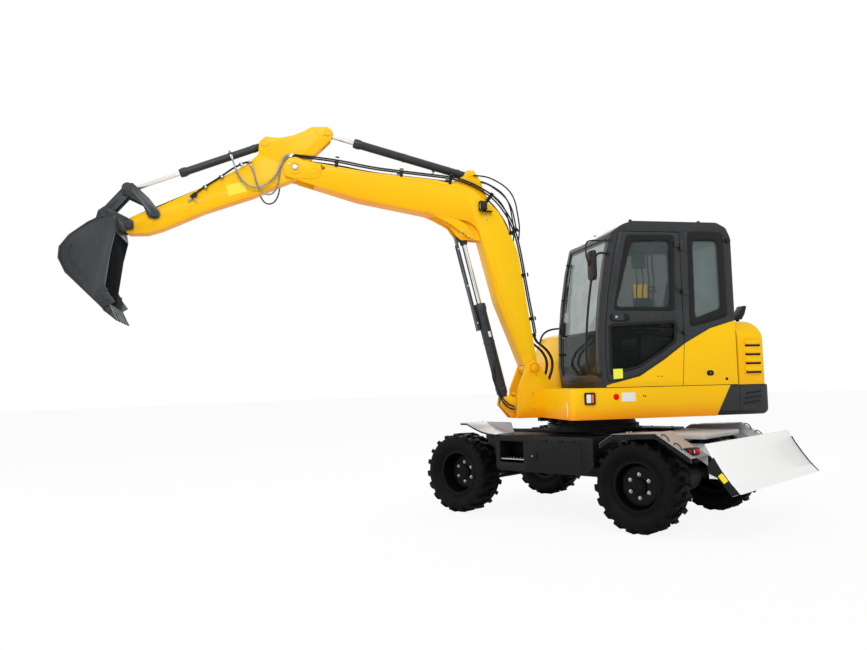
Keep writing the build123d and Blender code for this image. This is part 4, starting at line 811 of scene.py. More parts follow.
put(turned(((0.01, 897), (27, 897), (28, 900), (28, 1742), (0.01, 1742)), 48))
addPiece("boomRodShaft", "boom_rod", "chrome", upperPlace @ boomRam, replaced=["boom_cylinder_rod"])
put(turned(((28.2, 1668), (36, 1672), (38, 1684), (38, 1730), (28.2, 1740)), 40), place=boomRam)
put(turned(((16, -44.4), (44, -44.4), (46.6, -41), (46.6, 41), (44, 44.4), (16, 44.4), (16, -44.4)), 48),
    left, (1365, 0, 2870))
half = guardShape["half"]
put(sidePlate([guardPoint(*point) for point in guardShape["outline"]], -half, 2 * half, 4))
rise = [guardPoint(*point) for point in ((800, 70), (1690, 70), (1690, 88), (800, 88))]
platePair(rise, half, 2.5, 3, 1)
addPiece("boomRodGuard", "boom_rod", "slate", replaced=["boom_cylinder_rod"])
for along in (860, 1250, 1640):
    u, z = guardPoint(along, 79)
    putPair(bolt(7, 6), (u, half + 2, z))
addPiece("guardBolts", "boom_rod", "steel")
for name, foot, eye, body, radius, half in (("armRam", (1276, 3482), (2730, 3858), "arm_rod", 42.2, 40),
                                            ("bucketRam", (3337, 3731), (4590, 3240), "bucket_rod", 37.3,
                                             36)):
    put(turned(((15, -half - 0.3), (radius - 2, -half - 0.3), (radius, 2 - half), (radius, half - 2),
                (radius - 2, half + 0.3), (15, half + 0.3), (15, -half - 0.3)), 44), left,
        (eye[0], 0, eye[1]))
    reach = math.hypot(eye[0] - foot[0], eye[1] - foot[1])
    put(turned(((0.01, reach - 60), (radius * 0.72, reach - 60), (radius * 0.78, reach - 54),
                (radius * 0.78, reach - 30), (0.01, reach - 30)), 40), place=ramMatrix(foot, eye))
    addPiece(name + "Eye", body, "slate")
print("rods made")


# hoses along the boom, and the free ones over its elbow
hoseShape = {"radius": 8, "side": 92, "step": 17}
boomLine = ((3085, 3602), (2700, 3578), (2324, 3506), (2010, 3478), (1702, 3452), (1500, 3436), (1380, 3414),
            (1219, 3350), (1080, 3268), (978, 3170), (872, 3013), (810, 2832), (769, 2622), (735, 2390),
            (701, 2173), (668, 1985), (645, 1830))
elbowLines = (
    ((1248, 3474), (1150, 3474), (1041, 3446), (886, 3358), (806, 3238), (777, 3044), (763, 2920),
     (784, 2800)),
    ((1170, 3404), (1105, 3394), (1040, 3355), (930, 3280), (856, 3176), (820, 3050), (800, 2900)),
)
# clamps: forward, up, tilt, height
clampTable = ((2650, 3505, 8, 108), (2000, 3430, 5, 86), (1500, 3370, 11, 100), (1120, 3195, 37, 118),
              (890, 2870, 65, 112), (770, 2440, 81, 76), (702, 1990, 82, 74))
for side in (1, -1):
    v = side * hoseShape["side"]
    for step in (0, hoseShape["step"]):
        run([(u - step, v, z + step) for u, z in boomLine], hoseShape["radius"], 3, 6)
    for line in elbowLines:
        run([(u, v, z) for u, z in line], hoseShape["radius"] - 0.5, 3, 8)
addPiece("boomHoses", "main_boom", "hose", sharp=60, replaced=["boom_hoses"])
fasteners = bmesh.new()
for side in (1, -1):
    for u, z, tilt, height in clampTable:
        spot = Matrix.Translation((u, side * hoseShape["side"], z))
        lean = Matrix.Rotation(math.radians(-tilt), 4, "Y")
        put(plate(34, 26, height - 26, 3, 2), place=spot @ lean)
        put(plate(40, 30, 6, 5, 2), place=spot @ lean @ Matrix.Translation((0, 0, height - 4)))
        joinInto(fasteners, bolt(6, 6), spot @ lean @ Matrix.Translation((0, 0, height + 2)))
addPiece("boomClamps", "main_boom", "black")
addPiece("clampBolts", "main_boom", "steel", bm=fasteners)


# slack loops from the boom's end to the arm
armLoops = (
    ("armLoopOuter", "braid", 9, ((3069, 92, 3617), (3100, 95, 3617), (3155, 110, 3590), (3195, 119, 3490),
                                  (3240, 119, 3385), (3335, 119, 3296), (3445, 119, 3264), (3530, 119, 3310),
                                  (3592, 119, 3398), (3625, 115, 3490), (3652, 90, 3590))),
    ("armLoopInner", "braid", 8, ((3086, 92, 3600), (3112, 93, 3601.7), (3172, 100, 3545), (3200, 100, 3420),
                                  (3214, 100, 3300), (3262, 100, 3222), (3325, 100, 3208), (3392, 100, 3258),
                                  (3424, 100, 3350), (3440, 99, 3430), (3468, 98, 3500))),
    ("armLoopFar", "brown", 8, ((3086, -92, 3600), (3112, -93, 3601.7), (3168, -97, 3540), (3190, -98, 3400),
                                (3200, -98, 3280), (3240, -98, 3190), (3300, -98, 3160), (3360, -98, 3190),
                                (3405, -98, 3300), (3436, -98, 3420), (3466, -98, 3496))),
)


def slack(name, look, replaced, first):
    # a hose that spans two bodies, left free of both and fixed in place
    piece = addPiece(name, first, look, sharp=60, replaced=replaced, ride=False)
    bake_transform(piece)


for name, look, radius, points in armLoops:
    run(points, radius, 4, 12)
    slack(name, look, ["arm_hose_loops"], "main_boom")
for name, body, end, beyond in (("loopFittingsBoom", "main_boom", 0, 1),
                                ("loopFittingsArm", "dipper", -1, -2)):
    for points in (row[3] for row in armLoops):
        spot = Vector(points[end])
        along = (Vector(points[beyond]) - spot).normalized()
        put(disc(13, 24, 2, 6), along, spot - along * 6)
        put(disc(11, 40, 2, 20), along, spot)
    addPiece(name, body, "steel")

# two hoses from the foot bracket round to the boom ram's front ports
ramHoses = (((872, 100, 1098), (930, 108, 1112), (992, 112, 1160), (1060, 100, 1277), (1096, 82, 1375),
             (1104, 72, 1456), (1066, 44, 1530)),
            ((872, 100, 1068), (940, 112, 1082), (1008, 118, 1136), (1058, 108, 1258), (1078, 86, 1370),
             (1080, 76, 1480), (1064, 44, 1590)))
for points in ramHoses:
    run(points, 8, 4, 10)
slack("ramHoses", "hose", (), "upper")
for points in ramHoses:
    put(disc(12, 26, 2, 6), front, Vector(points[0]) - Vector((14, 0, 0)))
addPiece("ramHoseNuts", "upper", "steel")

# hoses from the upper to the boom's foot
footLine = ((644.9, 1829.4), (640, 1799), (614, 1752), (562, 1716), (492, 1650), (452, 1560), (462, 1460),
            (498, 1380), (505, 1330), (505, 1276))
footSides = (92, 68, -68, -92)
for v in footSides:
    run([(u, v, z) for u, z in footLine], 10, 4, 10)
slack("footHoses", "hose", ["boom_foot_hoses"], "upper")
for v in footSides:
    put(disc(15, 22, 2, 6), top, (505, v, 1275.5))
addPiece("footNuts", "upper", "steel")
put(sidePlate(((628, 1812), (664, 1806), (670, 1842), (634, 1848)), 106, -212, 3))
addPiece("footClamp", "main_boom", "black")
print("hoses laid")


# work lamp on the boom
lampShape = {"v": 150, "z": 3146, "back": 1132}
v, z = lampShape["v"], lampShape["z"]
put(plate(78, 92, 52, 14, 6), front, (lampShape["back"] + 4, v, z))
put(plate(54, 66, 6, 10, 3), rear, (lampShape["back"] + 6, v, z))
for across, up, width, height in ((35, 0, 8, 92), (-35, 0, 8, 92), (0, 42, 78, 8), (0, -42, 78, 8)):
    put(plate(width, height, 20, 3, 2), front, (1187, v + across, z + up))
put(plate(100, 54, 7, 8, 1.5), top, (1118, 133, 3090.5))
put(disc(9, 26, 1, 20), top, (1150, 150, 3082))
addPiece("boomLampBody", "main_boom", "plastic", replaced=["boom_lamp"])
put(plate(64, 78, 6, 6, 2.5))
put(disc(22, 3, 1, 36), place=Matrix.Translation((0, 0, 6)))
addPiece("boomLampLens", "main_boom", "clear", upperPlace @ facing(front, (1190, v, z)))
print("lamp made")


def ringPlate(outer, inner, depth, cornerOuter, cornerInner, edge):
    # a flat frame between two outlines with the same number of corners
    bm = bmesh.new()
    for outline, corner in ((outer, cornerOuter), (inner, cornerInner)):
        loop = bmesh.new()
        loop.faces.new([loop.verts.new((x, y, 0)) for x, y in outline])
        roundOff(loop, corner, None, 6)
        joinInto(bm, loop)
    bmesh.ops.delete(bm, geom=bm.faces[:], context="FACES_ONLY")
    bmesh.ops.bridge_loops(bm, edges=bm.edges[:])
    bmesh.ops.recalc_face_normals(bm, faces=bm.faces)
    return thicken(bm, depth, edge)


def sideRing(outer, inner, v, depth, cornerOuter, cornerInner, edge=0.0):
    return sidewise(ringPlate(outer, inner, abs(depth), cornerOuter, cornerInner, edge), v, depth)


# cab: everything is placed by its outer left face
cab = {
    "left": 945, "right": -70, "proud": 1.6,
    "doorPane": ((150, 2017), (-25, 2664), (-462, 2680), (-427, 2015)),
    "doorBand": ((168, 1994), (6, 2716), (-497, 2724), (-466, 1987)),
    "doorView": ((136, 2028), (-46, 2654), (-448, 2664), (-425, 2026)),
    "lowPane": ((205, 1415), (205, 1849), (-462, 1882), (-451, 1700), (-300, 1600), (-60, 1465)),
    "lowBand": ((226, 1386), (222, 1870), (-484, 1904), (-471, 1690), (-306, 1585), (-64, 1445)),
    "lowView": ((197, 1426), (197, 1841), (-454, 1873), (-443, 1704), (-298, 1608), (-58, 1475)),
    "sideBand": ((-612, 1826), (-632, 2762), (-1017, 2755), (-1024, 1930)),
    "sideView": ((-676, 1916), (-684, 2667), (-940, 2670), (-948, 2012)),
    "farBand": ((165, 1880), (-30, 2706), (-1022, 2764), (-1030, 1944)),
    "farView": ((120, 1935), (-62, 2660), (-975, 2712), (-982, 1998)),
}
face = cab["left"] - 0.4
put(sideRing(cab["doorBand"], cab["doorView"], face, cab["proud"], 46, 40, 0.6))
put(sideRing(cab["lowBand"], cab["lowView"], face, cab["proud"], 36, 30, 0.6))
addPiece("doorBands", "door", "gloss")
put(sideRing(cab["sideBand"], cab["sideView"], face, cab["proud"], 50, 34, 0.6))
put(sideRing(cab["farBand"], cab["farView"], cab["right"] + 0.4, -cab["proud"], 50, 40, 0.6))
addPiece("sideBands", "upper", "gloss")
# panes stand for the flat ones of the frame, with ground edges
for name, outline, look in (("doorPane", "doorPane", "doorGlass"), ("doorPaneLow", "lowPane", "darkGlass")):
    put(sidePlate(cab[outline], 923, 6, 35, 1))
    addPiece(name, "door", look, replaced=["door_glass"])
print("windows framed")


# windscreen: curved with the front of the cab, clear above, where its pale colour is a painted reflection,
# dark below
screen = {
    "curve": ((302, 1275), (328, 1500), (322, 1790), (285, 2130), (225, 2480), (160, 2735)),
    "right": -8, "left": 883, "seam": 1800,
}


def screenU(z):
    curve = screen["curve"]
    for (u1, z1), (u2, z2) in zip(curve, curve[1:]):
        if z1 <= z <= z2:
            return u1 + (u2 - u1) * (z - z1) / (z2 - z1)
    return curve[-1][0]


def screenStrip(vLow, vHigh, zLow, zHigh, back, depth):
    # a strip that follows the windscreen's curve, between two heights and two sides
    bm = bmesh.new()
    bmesh.ops.create_grid(bm, x_segments=1, y_segments=14, size=0.5)
    for vert in bm.verts:
        z = zLow + (vert.co.y + 0.5) * (zHigh - zLow)
        vert.co = (screenU(z) - back, vLow + (vert.co.x + 0.5) * (vHigh - vLow), z)
    return thicken(bm, depth, way=front)


low, high, middle = screen["right"], screen["left"], screen["seam"]
for vLow, vHigh, zLow, zHigh in ((low - 6, low + 34, 1388, 2698), (high - 34, high + 6, 1388, 2698),
                                 (low, high, 2660, 2698), (low, high, 1388, 1420),
                                 (low, high, middle - 14, middle + 14)):
    put(screenStrip(vLow, vHigh, zLow, zHigh, 17, 9))
addPiece("screenFrame", "upper", "gloss")
for name, look, zLow, zHigh in (("screenLow", "darkGlass", 1418, middle - 12),
                                ("screenHigh", "paleReflectionGlass", middle + 12, 2664)):
    addPiece(name, "upper", look, bm=screenStrip(low + 30, high - 30, zLow, zHigh, 15.5, 3))

# wiper with its motor cover, and three catches along the far pillar
for z, size in ((2560, 15), (2190, 14), (1620, 15)):
    put(disc(size, 26, 4, 20), front, (screenU(z) - 6, 12, z))
    put(disc(size * 0.6, 36, 2, 16), front, (screenU(z) - 6, 12, z))
put(plate(70, 150, 44, 18, 8), front, (screenU(1900) - 8, 60, 1880))
put(disc(16, 30, 4, 24), front, (screenU(1900) + 20, 60, 1840))
run([(screenU(1850) + 40, 60, 1845), (screenU(1990) + 28, 70, 1990), (screenU(2150) + 14, 84, 2150),
     (screenU(2330) + 10, 92, 2330)], 7, 2, 6)
run([(screenU(2050) + 2, 94, 2050), (screenU(2300) + 3, 92, 2300), (screenU(2560) + 2, 90, 2560)], 6, 2, 6)
addPiece("wiper", "upper", "plastic")
print("windscreen made")


# door: grip recess, lock and blank sticker
put(sidePlate(((204, 1890), (204, 1964), (-2, 1964), (-2, 1890)), 944.6, 3, 34, 1.4))
addPiece("gripRecess", "door", "gloss")
put(disc(13, 6, 1.5, 28), left, (148, 966.5, 1932))
put(disc(5, 8, 1, 16), left, (148, 966.5, 1932))
addPiece("doorLock", "door", "steel")
put(sidePlate(((192, 1448), (97, 1450), (97, 1362), (190, 1354)), 945.2, 1.2, 4))
addPiece("doorSticker", "door", "lime")

# roof knobs and the small lamp at the rear corner
for u in (-95, -819):
    for v in (845, 40):
        put(turned(((0.01, -2), (24, -2), (24, 2), (11, 5), (10, 15), (16, 18), (16, 28), (12, 32),
                    (0.01, 33)), 24), top, (u, v, 2850))
put(turned(((0.01, -2), (24, -2), (24, 22), (18, 28), (0.01, 29)), 24), left, (-1060, 944, 2672))
addPiece("roofKnobs", "upper", "plastic")
print("door and roof dressed")


# driver's seat: crowned cushions with sewn channels
seat = {"u": -490, "v": 437.5, "low": 1647.9}


def cushion(length, width, height, crown, pull, seams, cross=()):
    # a closed pad: crowned top, sides that pull in between the corners, sunken seams
    bm = bmesh.new()
    bmesh.ops.create_cube(bm, size=2)
    bmesh.ops.subdivide_edges(bm, edges=bm.edges, cuts=31, use_grid_fill=True)
    for vert in bm.verts:
        x, y, z = vert.co
        # corners rounded by pressing the box towards a rounder form
        rounder = (abs(x) ** 5 + abs(y) ** 5) ** 0.2
        if rounder > 1:
            x, y = x / rounder ** 0.5, y / rounder ** 0.5
        edge = max(abs(vert.co.x), abs(vert.co.y))
        side = 1 - 0.16 * max(0, abs(z) - 0.25) ** 2 if edge > 0.999 else 1
        wave = 1 - pull * (1 - abs(y if abs(vert.co.x) > 0.999 else x) ** 2) if edge > 0.999 else 1
        crowned = (1 - x ** 4) * (1 - y ** 4)
        rise = z
        if z > 0.999:
            fall = max(0, edge - 0.86) / 0.14
            rise = 1 - crown + crown * crowned - 0.22 * fall ** 2
            for spot in seams:
                rise -= 0.17 * math.exp(-((y - spot) / 0.035) ** 2) * (1 if edge < 0.97 else 0)
            for spot in cross:
                rise -= 0.15 * math.exp(-((x - spot) / 0.03) ** 2) * (1 if edge < 0.97 else 0)
        vert.co = (x * side * wave * length / 2, y * side * wave * width / 2, (rise + 1) * height / 2)
    for turn in range(2):
        bmesh.ops.smooth_vert(bm, verts=bm.verts, factor=0.35, use_axis_x=True, use_axis_y=True,
                              use_axis_z=True)
    bmesh.ops.recalc_face_normals(bm, faces=bm.faces)
    return bm


def padPiece(name, bm, place):
    piece = addPiece(name, "upper", "seat", upperPlace @ place, bm, sharp=80,
                     replaced=["seat_cushions"])
    rounding = piece.modifiers.new("rounding", "SUBSURF")
    rounding.levels = rounding.render_levels = 1


def leanPlace(u, z, lean):
    # local X up along the back, local Z towards the front
    turn = Matrix.Rotation(math.radians(lean), 4, "Y")
    swap = Matrix(((0, 0, 1, 0), (0, -1, 0, 0), (1, 0, 0, 0), (0, 0, 0, 1)))
    return Matrix.Translation((u, seat["v"], z)) @ turn @ swap


padPiece("seatCushion", cushion(496, 466, 108, 0.3, 0.03, (-0.56, 0.56), (-0.1,)),
         Matrix.Translation((seat["u"], seat["v"], seat["low"] + 0.5)))
padPiece("seatBack", cushion(606, 446, 100, 0.3, 0.04, (-0.56, 0.56), (-0.45, 0.05)),
         leanPlace(-824, 2070, -10.5))
padPiece("headRest", cushion(178, 236, 66, 0.4, 0.05, (), ()), leanPlace(-885, 2458, -10))
for v in (seat["v"] - 60, seat["v"] + 60):
    run([(-842, v, 2330), (-858, v, 2370), (-874, v, 2420)], 7, 3, 4)
put(plate(440, 400, 22, 30, 6), rear, (-760, seat["v"], 1960))
for side in (1, -1):
    put(plate(300, 64, 34, 28, 12), top, (-560, seat["v"] + side * 268, 1840))
    put(disc(16, 190, 4, 20), top, (-660, seat["v"] + side * 262, 1655))
put(plate(420, 380, 40, 40, 8), top, (-490, seat["v"], 1611))
addPiece("seatFrame", "upper", "plastic")
print("seat made")


# inside of the cab: floor mat, monitor, console tops and the rear shelf
put(plate(660, 800, 8, 30, 2), top, (-60, seat["v"], 1318.2), 90)
for count in range(9):
    put(plate(560, 8, 3, 1, 0.6), top, (-60, seat["v"] - 320 + 80 * count, 1326))
for side in (1, -1):
    put(plate(540, 130, 34, 30, 12), top, (-430, seat["v"] + side * 330, 1642))
    put(plate(170, 110, 90, 24, 10), top, (-250, seat["v"] + side * 330, 1668))
    put(turned(((0.01, 0), (30, 0), (34, 12), (22, 40), (14, 70), (0.01, 72)), 24), top,
        (-230, seat["v"] + side * 330, 1680))
put(plate(860, 120, 60, 30, 10), top, (-1020, seat["v"], 1840), 90)
put(plate(150, 120, 30, 14, 5), (-1, 0.25, 0.2), (90, 80, 1890))
put(disc(14, 380, 3, 16), (0.25, 0.1, 1), (30, 60, 1500))
for side in (0.6, -0.6):
    put(plate(120, 70, 12, 16, 4), (-0.5, 0, 1), (120, seat["v"] + side * 180, 1350))
    put(disc(11, 220, 3, 16), (-0.35, 0, 1), (60, seat["v"] + side * 120, 1330))
addPiece("cabInside", "upper", "plastic")
# papers in a sleeve that glow faintly as painted light, tags, cords and a folded vest that hang by the far
# window
put(plate(158, 146, 1.5, 4, 0.3), left, (-596, 20, 2292), 2)
addPiece("hungPapers", "upper", "glowCard")
put(plate(84, 26, 2, 4, 0.3), left, (-740, 20, 2332))
put(plate(84, 34, 2, 4, 0.3), left, (-740, 20, 2288))
addPiece("hungTags", "upper", "amber")
for u, low in ((-560, 2100), (-630, 2080), (-700, 2120), (-756, 2060)):
    run([(u, 14, 2690), (u + 14, 26, 2560), (u - 12, 20, 2400), (u + 18, 24, 2260), (u, 18, low)], 8, 3, 6)
put(plate(150, 150, 46, 26, 14), left, (-600, -16, 2610))
put(plate(120, 250, 36, 30, 14), left, (-590, -20, 2200))
put(plate(90, 170, 36, 30, 14), left, (-700, -20, 2140))
addPiece("hungCords", "upper", "greenCloth")
print("cab furnished")


# rail, mirror arm and mirrors
railPoints = ((190, 930, 2528), (250, 985, 2530), (318, 985, 2530), (356, 985, 2470), (380, 985, 2350),
              (398, 985, 2242), (440, 985, 1980), (462, 985, 1750), (474, 985, 1520), (448, 985, 1430),
              (390, 985, 1398), (318, 930, 1392))
armPoints = ((160, 930, 2655), (240, 950, 2652), (395, 950, 2655), (424, 950, 2600), (424, 975, 2450),
             (400, 985, 2425))
run(railPoints, 11, 4, 10)
run(armPoints, 7.5, 4, 10)
for u, v, z in ((196, 938, 2528), (166, 938, 2655), (322, 938, 1392)):
    put(disc(24, 12, 2, 24), (-0.3, -1, 0), (u + 3, v + 8, z))
addPiece("cabRail", "upper", "plastic", replaced=["mirrors"])
put(plate(146, 276, 30, 42, 12, 6), front, (375, 1000, 2410))
put(plate(150, 280, 6, 44, 2, 6), front, (371, 1000, 2410))
put(disc(15, 26, 3, 24), front, (390, 985, 2425))
put(turned(((0.01, -16), (13, -10), (16, 0), (13, 10), (0.01, 16)), 20), top, (404, 985, 2425))
# the one that looks back: hood-shaped shell on a foot
put(sidePlate(((-1390, 1932), (-1404, 1972), (-1468, 2079), (-1499, 2070), (-1474, 1992), (-1438, 1934)),
              441, 118, 8, 4))
put(disc(18, 40, 3, 28), top, (-1425, 500, 1897.5))
put(disc(27, 8, 2, 28), top, (-1425, 500, 1897.5))
addPiece("mirrorShells", "upper", "plastic", replaced=["mirrors"])
put(plate(126, 254, 2, 36, 0.8, 6), rear, (371, 1000, 2410))
put(plate(104, 92, 2, 14, 0.8), (-0.94, 0, -0.34), (-1487, 500, 2030))
addPiece("mirrorGlasses", "upper", "mirror")
print("mirrors made")


# louvred panel in the hood's side: pressed hoods over dark slots, whose dark is painted shade
louvre = {"u": -1266, "out": 957, "slots": (1658, 1572, 1486, 1400)}
put(plate(186, 322, 12, 10, 3), left, (louvre["u"], 945, 1534))
for level in louvre["slots"]:
    put(plate(174, 44, 14, 18, 8), left, (louvre["u"], louvre["out"] - 1, level + 22))
addPiece("louvres", "upper", "yellow")
# each slot's dark is a thin black strip of painted shade under its hood
for level in louvre["slots"]:
    put(plate(166, 24, 3, 11, 0.5), left, (louvre["u"], louvre["out"] - 1.2, level - 8))
addPiece("louvreSlotShade", "upper", "gloss")


# seams, locks and small holes of the side panels, just proud of their outer face
flank = 945.1


def seam(start, end, side=1, width=5):
    # a dark line drawn as a thin strip
    (u1, z1), (u2, z2) = start, end
    along = Vector((u2 - u1, z2 - z1)).normalized() * (width / 2)
    across = Vector((-along.y, along.x))
    ends = ((u1 - across.x, z1 - across.y), (u2 - across.x, z2 - across.y), (u2 + across.x, z2 + across.y),
            (u1 + across.x, z1 + across.y))
    put(sidePlate(ends, side * flank, side * 0.7))


seam((-548, 1676), (-516, 1283))
seam((268, 1276), (-1100, 1276))
for side in (1, -1):
    seam((-1119, 1268), (-1103, 990), side, 6)
put(sidePlate(((-769, 1418), (-845, 1418), (-845, 1366), (-769, 1366)), flank, 2.5, 25, 1))
put(disc(14, 3, 0.8, 24), left, (-980, flank, 1332))
for radius, u, z in ((6, -262, 1371), (6, -300, 1369), (7, -104, 1196), (7, -122, 1188)):
    put(disc(radius, 2, 0.5, 16), left, (u, flank, z))
addPiece("panelSeams", "upper", "gloss")
put(disc(5, 3, 1, 24), left, (-807, 947.2, 1392))
addPiece("panelLocks", "upper", "steel")


# counterweight: long slots near the corner, drawn as black strips of painted shade, each with a rib under it
# whose lighter slate paint is a painted highlight
slotLines = (((-1173, 1186), (-1346, 1210)), ((-1159, 1142), (-1348, 1163)), ((-1145, 1092), (-1330, 1117)))
# name, look, slot, how far below the line, half width, depth, corner, edge
slotTable = (("weightSlotShade", "gloss", "black", 0, 11, 1.2, 9, 0.5),
             ("weightRibHighlights", "slate", "charcoal", 14, 3, 3.5, 2.5, 1))
for name, look, slot, drop, half, depth, corner, edge in slotTable:
    for (uFrom, zFrom), (uTo, zTo) in slotLines:
        zFrom, zTo = zFrom - drop, zTo - drop
        ends = ((uFrom, zFrom - half), (uTo, zTo - half), (uTo, zTo + half), (uFrom, zFrom + half))
        platePair(ends, flank, depth, corner, edge)
    addPiece(name, "upper", look)


# platform: lamps with amber corners, reflectors and blank plates
lampBox = {"u": 437, "z": 1179.5, "out": 945.3}


def lampPane(ahead, behind, rise):
    # corners of a pane of the side lamp
    u, z = lampBox["u"], lampBox["z"]
    return (u + ahead, z + rise), (u + ahead, z - rise), (u - behind, z - rise), (u - behind, z + rise)


for side in (1, -1):
    put(sideRing(lampPane(52, 52, 56), lampPane(40, 40, 44), side * lampBox["out"], side * 21, 14, 8, 3))
platePair(lampPane(52, 52, 56), lampBox["out"], 8, 14)
addPiece("sideLampFrames", "upper", "plastic", replaced=["side_lamps"])
platePair(lampPane(36, 8, 40), 953, 9, 7, 2.5)
addPiece("sideLampLenses", "upper", "clear")
platePair(lampPane(-12, 37, 40), 953, 9, 7, 2.5)
addPiece("sideLampAmbers", "upper", "amber")
putPair(turned(((0.01, 7), (18, 6.5), (26, 4.5), (29, 1.5), (30, -0.5)), 36), (172, 945.2, 1190))
addPiece("reflectors", "upper", "red")
platePair(((118, 1228), (118, 1147), (-22, 1144), (-22, 1226)), flank, 1.2, 3)
for v in (824, -824):
    put(plate(14, 132, 2, 4, 0.5), front, (610.1, v, 1078))
addPiece("blankPlates", "upper", "clear")

# bolts and brackets under and along the platform
for u, z in ((600, 1080), (700, 1080), (600, 1200), (705, 1230), (662, 1420)):
    putPair(bolt(9, 8), (u, 156, z))
putPair(turned(((52, -2), (52, 7), (48, 10), (30, 10), (28, 6), (0.01, 6)), 40), (683, 156, 1489))
putPair(turned(((26, -2), (26, 5), (23, 7), (12, 7), (10, 4), (0.01, 4)), 30), (957, 74, 1140))
addPiece("bracketPins", "upper", "orange")
putPair(disc(27, 8, 2, 28), (683, 162, 1489))
putPair(bolt(8, 7), (986, 74, 1160))
# swivel fitting in front of the bracket
put(disc(20, 30, 3, 24), front, (846, 0, 1225))
addPiece("bracketSteel", "upper", "deckYellow")
# black skirt round the slew ring, and the swivel's fittings under the platform
skirt = turned(((431, 1), (438, 4), (438, 20), (432, 24), (432, 70), (440, 74), (440, 79), (431, 79.4)), 96)
put(skirt, place=Matrix.Translation((0, 0, 905.4)))
for u, v, size, low in ((470, 120, 46, 915), (470, 300, 34, 925), (396, 430, 30, 930), (540, 210, 26, 940)):
    put(disc(size, 985 - low, 0, 28), place=Matrix.Translation((u, v, low)))
    put(disc(size * 1.35, 10, 2, 6), place=Matrix.Translation((u, v, low - 2)))
put(plate(190, 90, 40, 12, 5), (0, 0, -1), (520, 60, 985))
addPiece("slewSkirt", "upper", "black")

# right-hand cover: seams of the tool box, tank cap, grille and step pads
seam((-420, 1290), (-420, 1872), -1)
seam((322, 1300), (-1100, 1300), -1)
for z in range(1700, 1400, -50):
    put(sidePlate(((-620, z), (-620, z + 16), (-960, z + 16), (-960, z)), -flank, -1.2, 7, 0.4))
for u in (-200, -20):
    put(plate(120, 240, 3, 8, 1), top, (u, -520, 1877.3))
put(sidePlate(((120, 1600), (120, 1560), (70, 1560), (70, 1600)), -flank, -4, 16, 1))
addPiece("coverSeams", "upper", "gloss")
put(turned(((0.01, 34), (36, 34), (40, 30), (40, 4), (52, 0), (52, -2)), 40))
put(plate(70, 14, 12, 5, 3), place=Matrix.Translation((0, 0, 34)))
addPiece("tankCap", "upper", "plastic", upperPlace @ facing(top, (-560, -680, 1877.5)))

# hood: rear grille and handle
for count in range(9):
    put(plate(620, 14, 3, 6, 1), rear, (-1677.2, 0, 1470 + 30 * count))
addPiece("rearGrille", "upper", "gloss")
put(plate(120, 34, 8, 12, 3), rear, (-1677, 0, 1390))
put(disc(9, 14, 2, 20), rear, (-1680, 30, 1390))
addPiece("hoodHandle", "upper", "plastic")
# grab rail of the right-hand cover
run([(210, -900, 1760), (230, -900, 1800), (180, -900, 1910), (60, -900, 1960), (-160, -900, 1960),
     (-220, -900, 1950), (-240, -900, 1900), (-240, -900, 1874)], 11, 4, 8)
addPiece("coverRail", "upper", "black")
print("upper dressed")


# side boxes: lock, hinges, bolts, bright step lip, pressed step holes
boxShape = {"out": 934, "lockX": 86, "lockZ": 633, "stepX": 365, "stepZ": 592}
out, lockX, lockZ = boxShape["out"], boxShape["lockX"], boxShape["lockZ"]
putPair(plate(62, 62, 12, 10, 3), (lockX, out, lockZ))
putPair(plate(30, 14, 10, 5, 2), (lockX, out + 10, lockZ - 6))
for x in (-420, 180):
    for z in (500, 760):
        putPair(bolt(8, 6), (x, out, z))
for side in (1, -1):
    for x in (-380, -240, -60):
        put(disc(8, 60, 1, 16), front, (x, side * 938, 784))
    for x in (-440, -200, 40, 200, 540):
        put(bolt(8, 6), top, (x, side * 900, 825))
addPiece("boxFittings", "chassis", "box")
stepX, stepZ = boxShape["stepX"], boxShape["stepZ"]
putPair(disc(8, 16, 2, 20), (lockX + 12, 944, lockZ))
putPair(plate(286, 9, 6, 3, 1), (stepX, 914, stepZ - 2))
for y in (890, 840, 790, -890, -840, -790):
    for x in range(stepX - 120, stepX + 121, 40):
        put(turned(((9, 0), (9, 2), (6.5, 3), (6, 0.5)), 16), top, (x, y, stepZ))
addPiece("boxBright", "chassis", "steel")

# frame: bolts along the noses, and hoses over them
for z, places in ((740, (700, 820, 940, 1060, 1180, -700, -840, -980, -1180)), (640, (640, 1200, -1210))):
    for x in places:
        putPair(bolt(10, 8), (x, 230, z))
put(plate(400, 180, 16, 20, 5), front, (1252, 0, 700))
for y in (-150, 150):
    for z in (650, 750):
        put(bolt(11, 9), front, (1260, y, z))
addPiece("frameBolts", "chassis", "black")
for y in (60, 90, -70):
    run([(620, y, 812), (760, y, 816), (920, y * 1.3, 812), (1060, y * 1.6, 806), (1180, y * 1.4, 812)],
        9, 3, 8)
    run([(-520, y, 850), (-640, y, 856), (-760, y * 1.2, 853), (-860, y * 1.4, 853)], 9, 3, 8)
for y in (26, -26):
    run([(-1262, y * 2.8, 720), (-1310, y * 3, 780), (-1400, y * 2.6, 790), (-1470, y * 2.4, 744),
         (-1500, y * 1.6, 716)], 7, 3, 8)
addPiece("chassisHoses", "chassis", "hose", sharp=60)
print("chassis dressed")


# rear: wire loops over the fenders, lamps with lenses
def fenderZ(x):
    # top of the rear fender at x
    return 882 + (x + 1190) * (882 - 687) / 310 if x < -1190 else 882 - (x + 1190) * (882 - 865) / 415


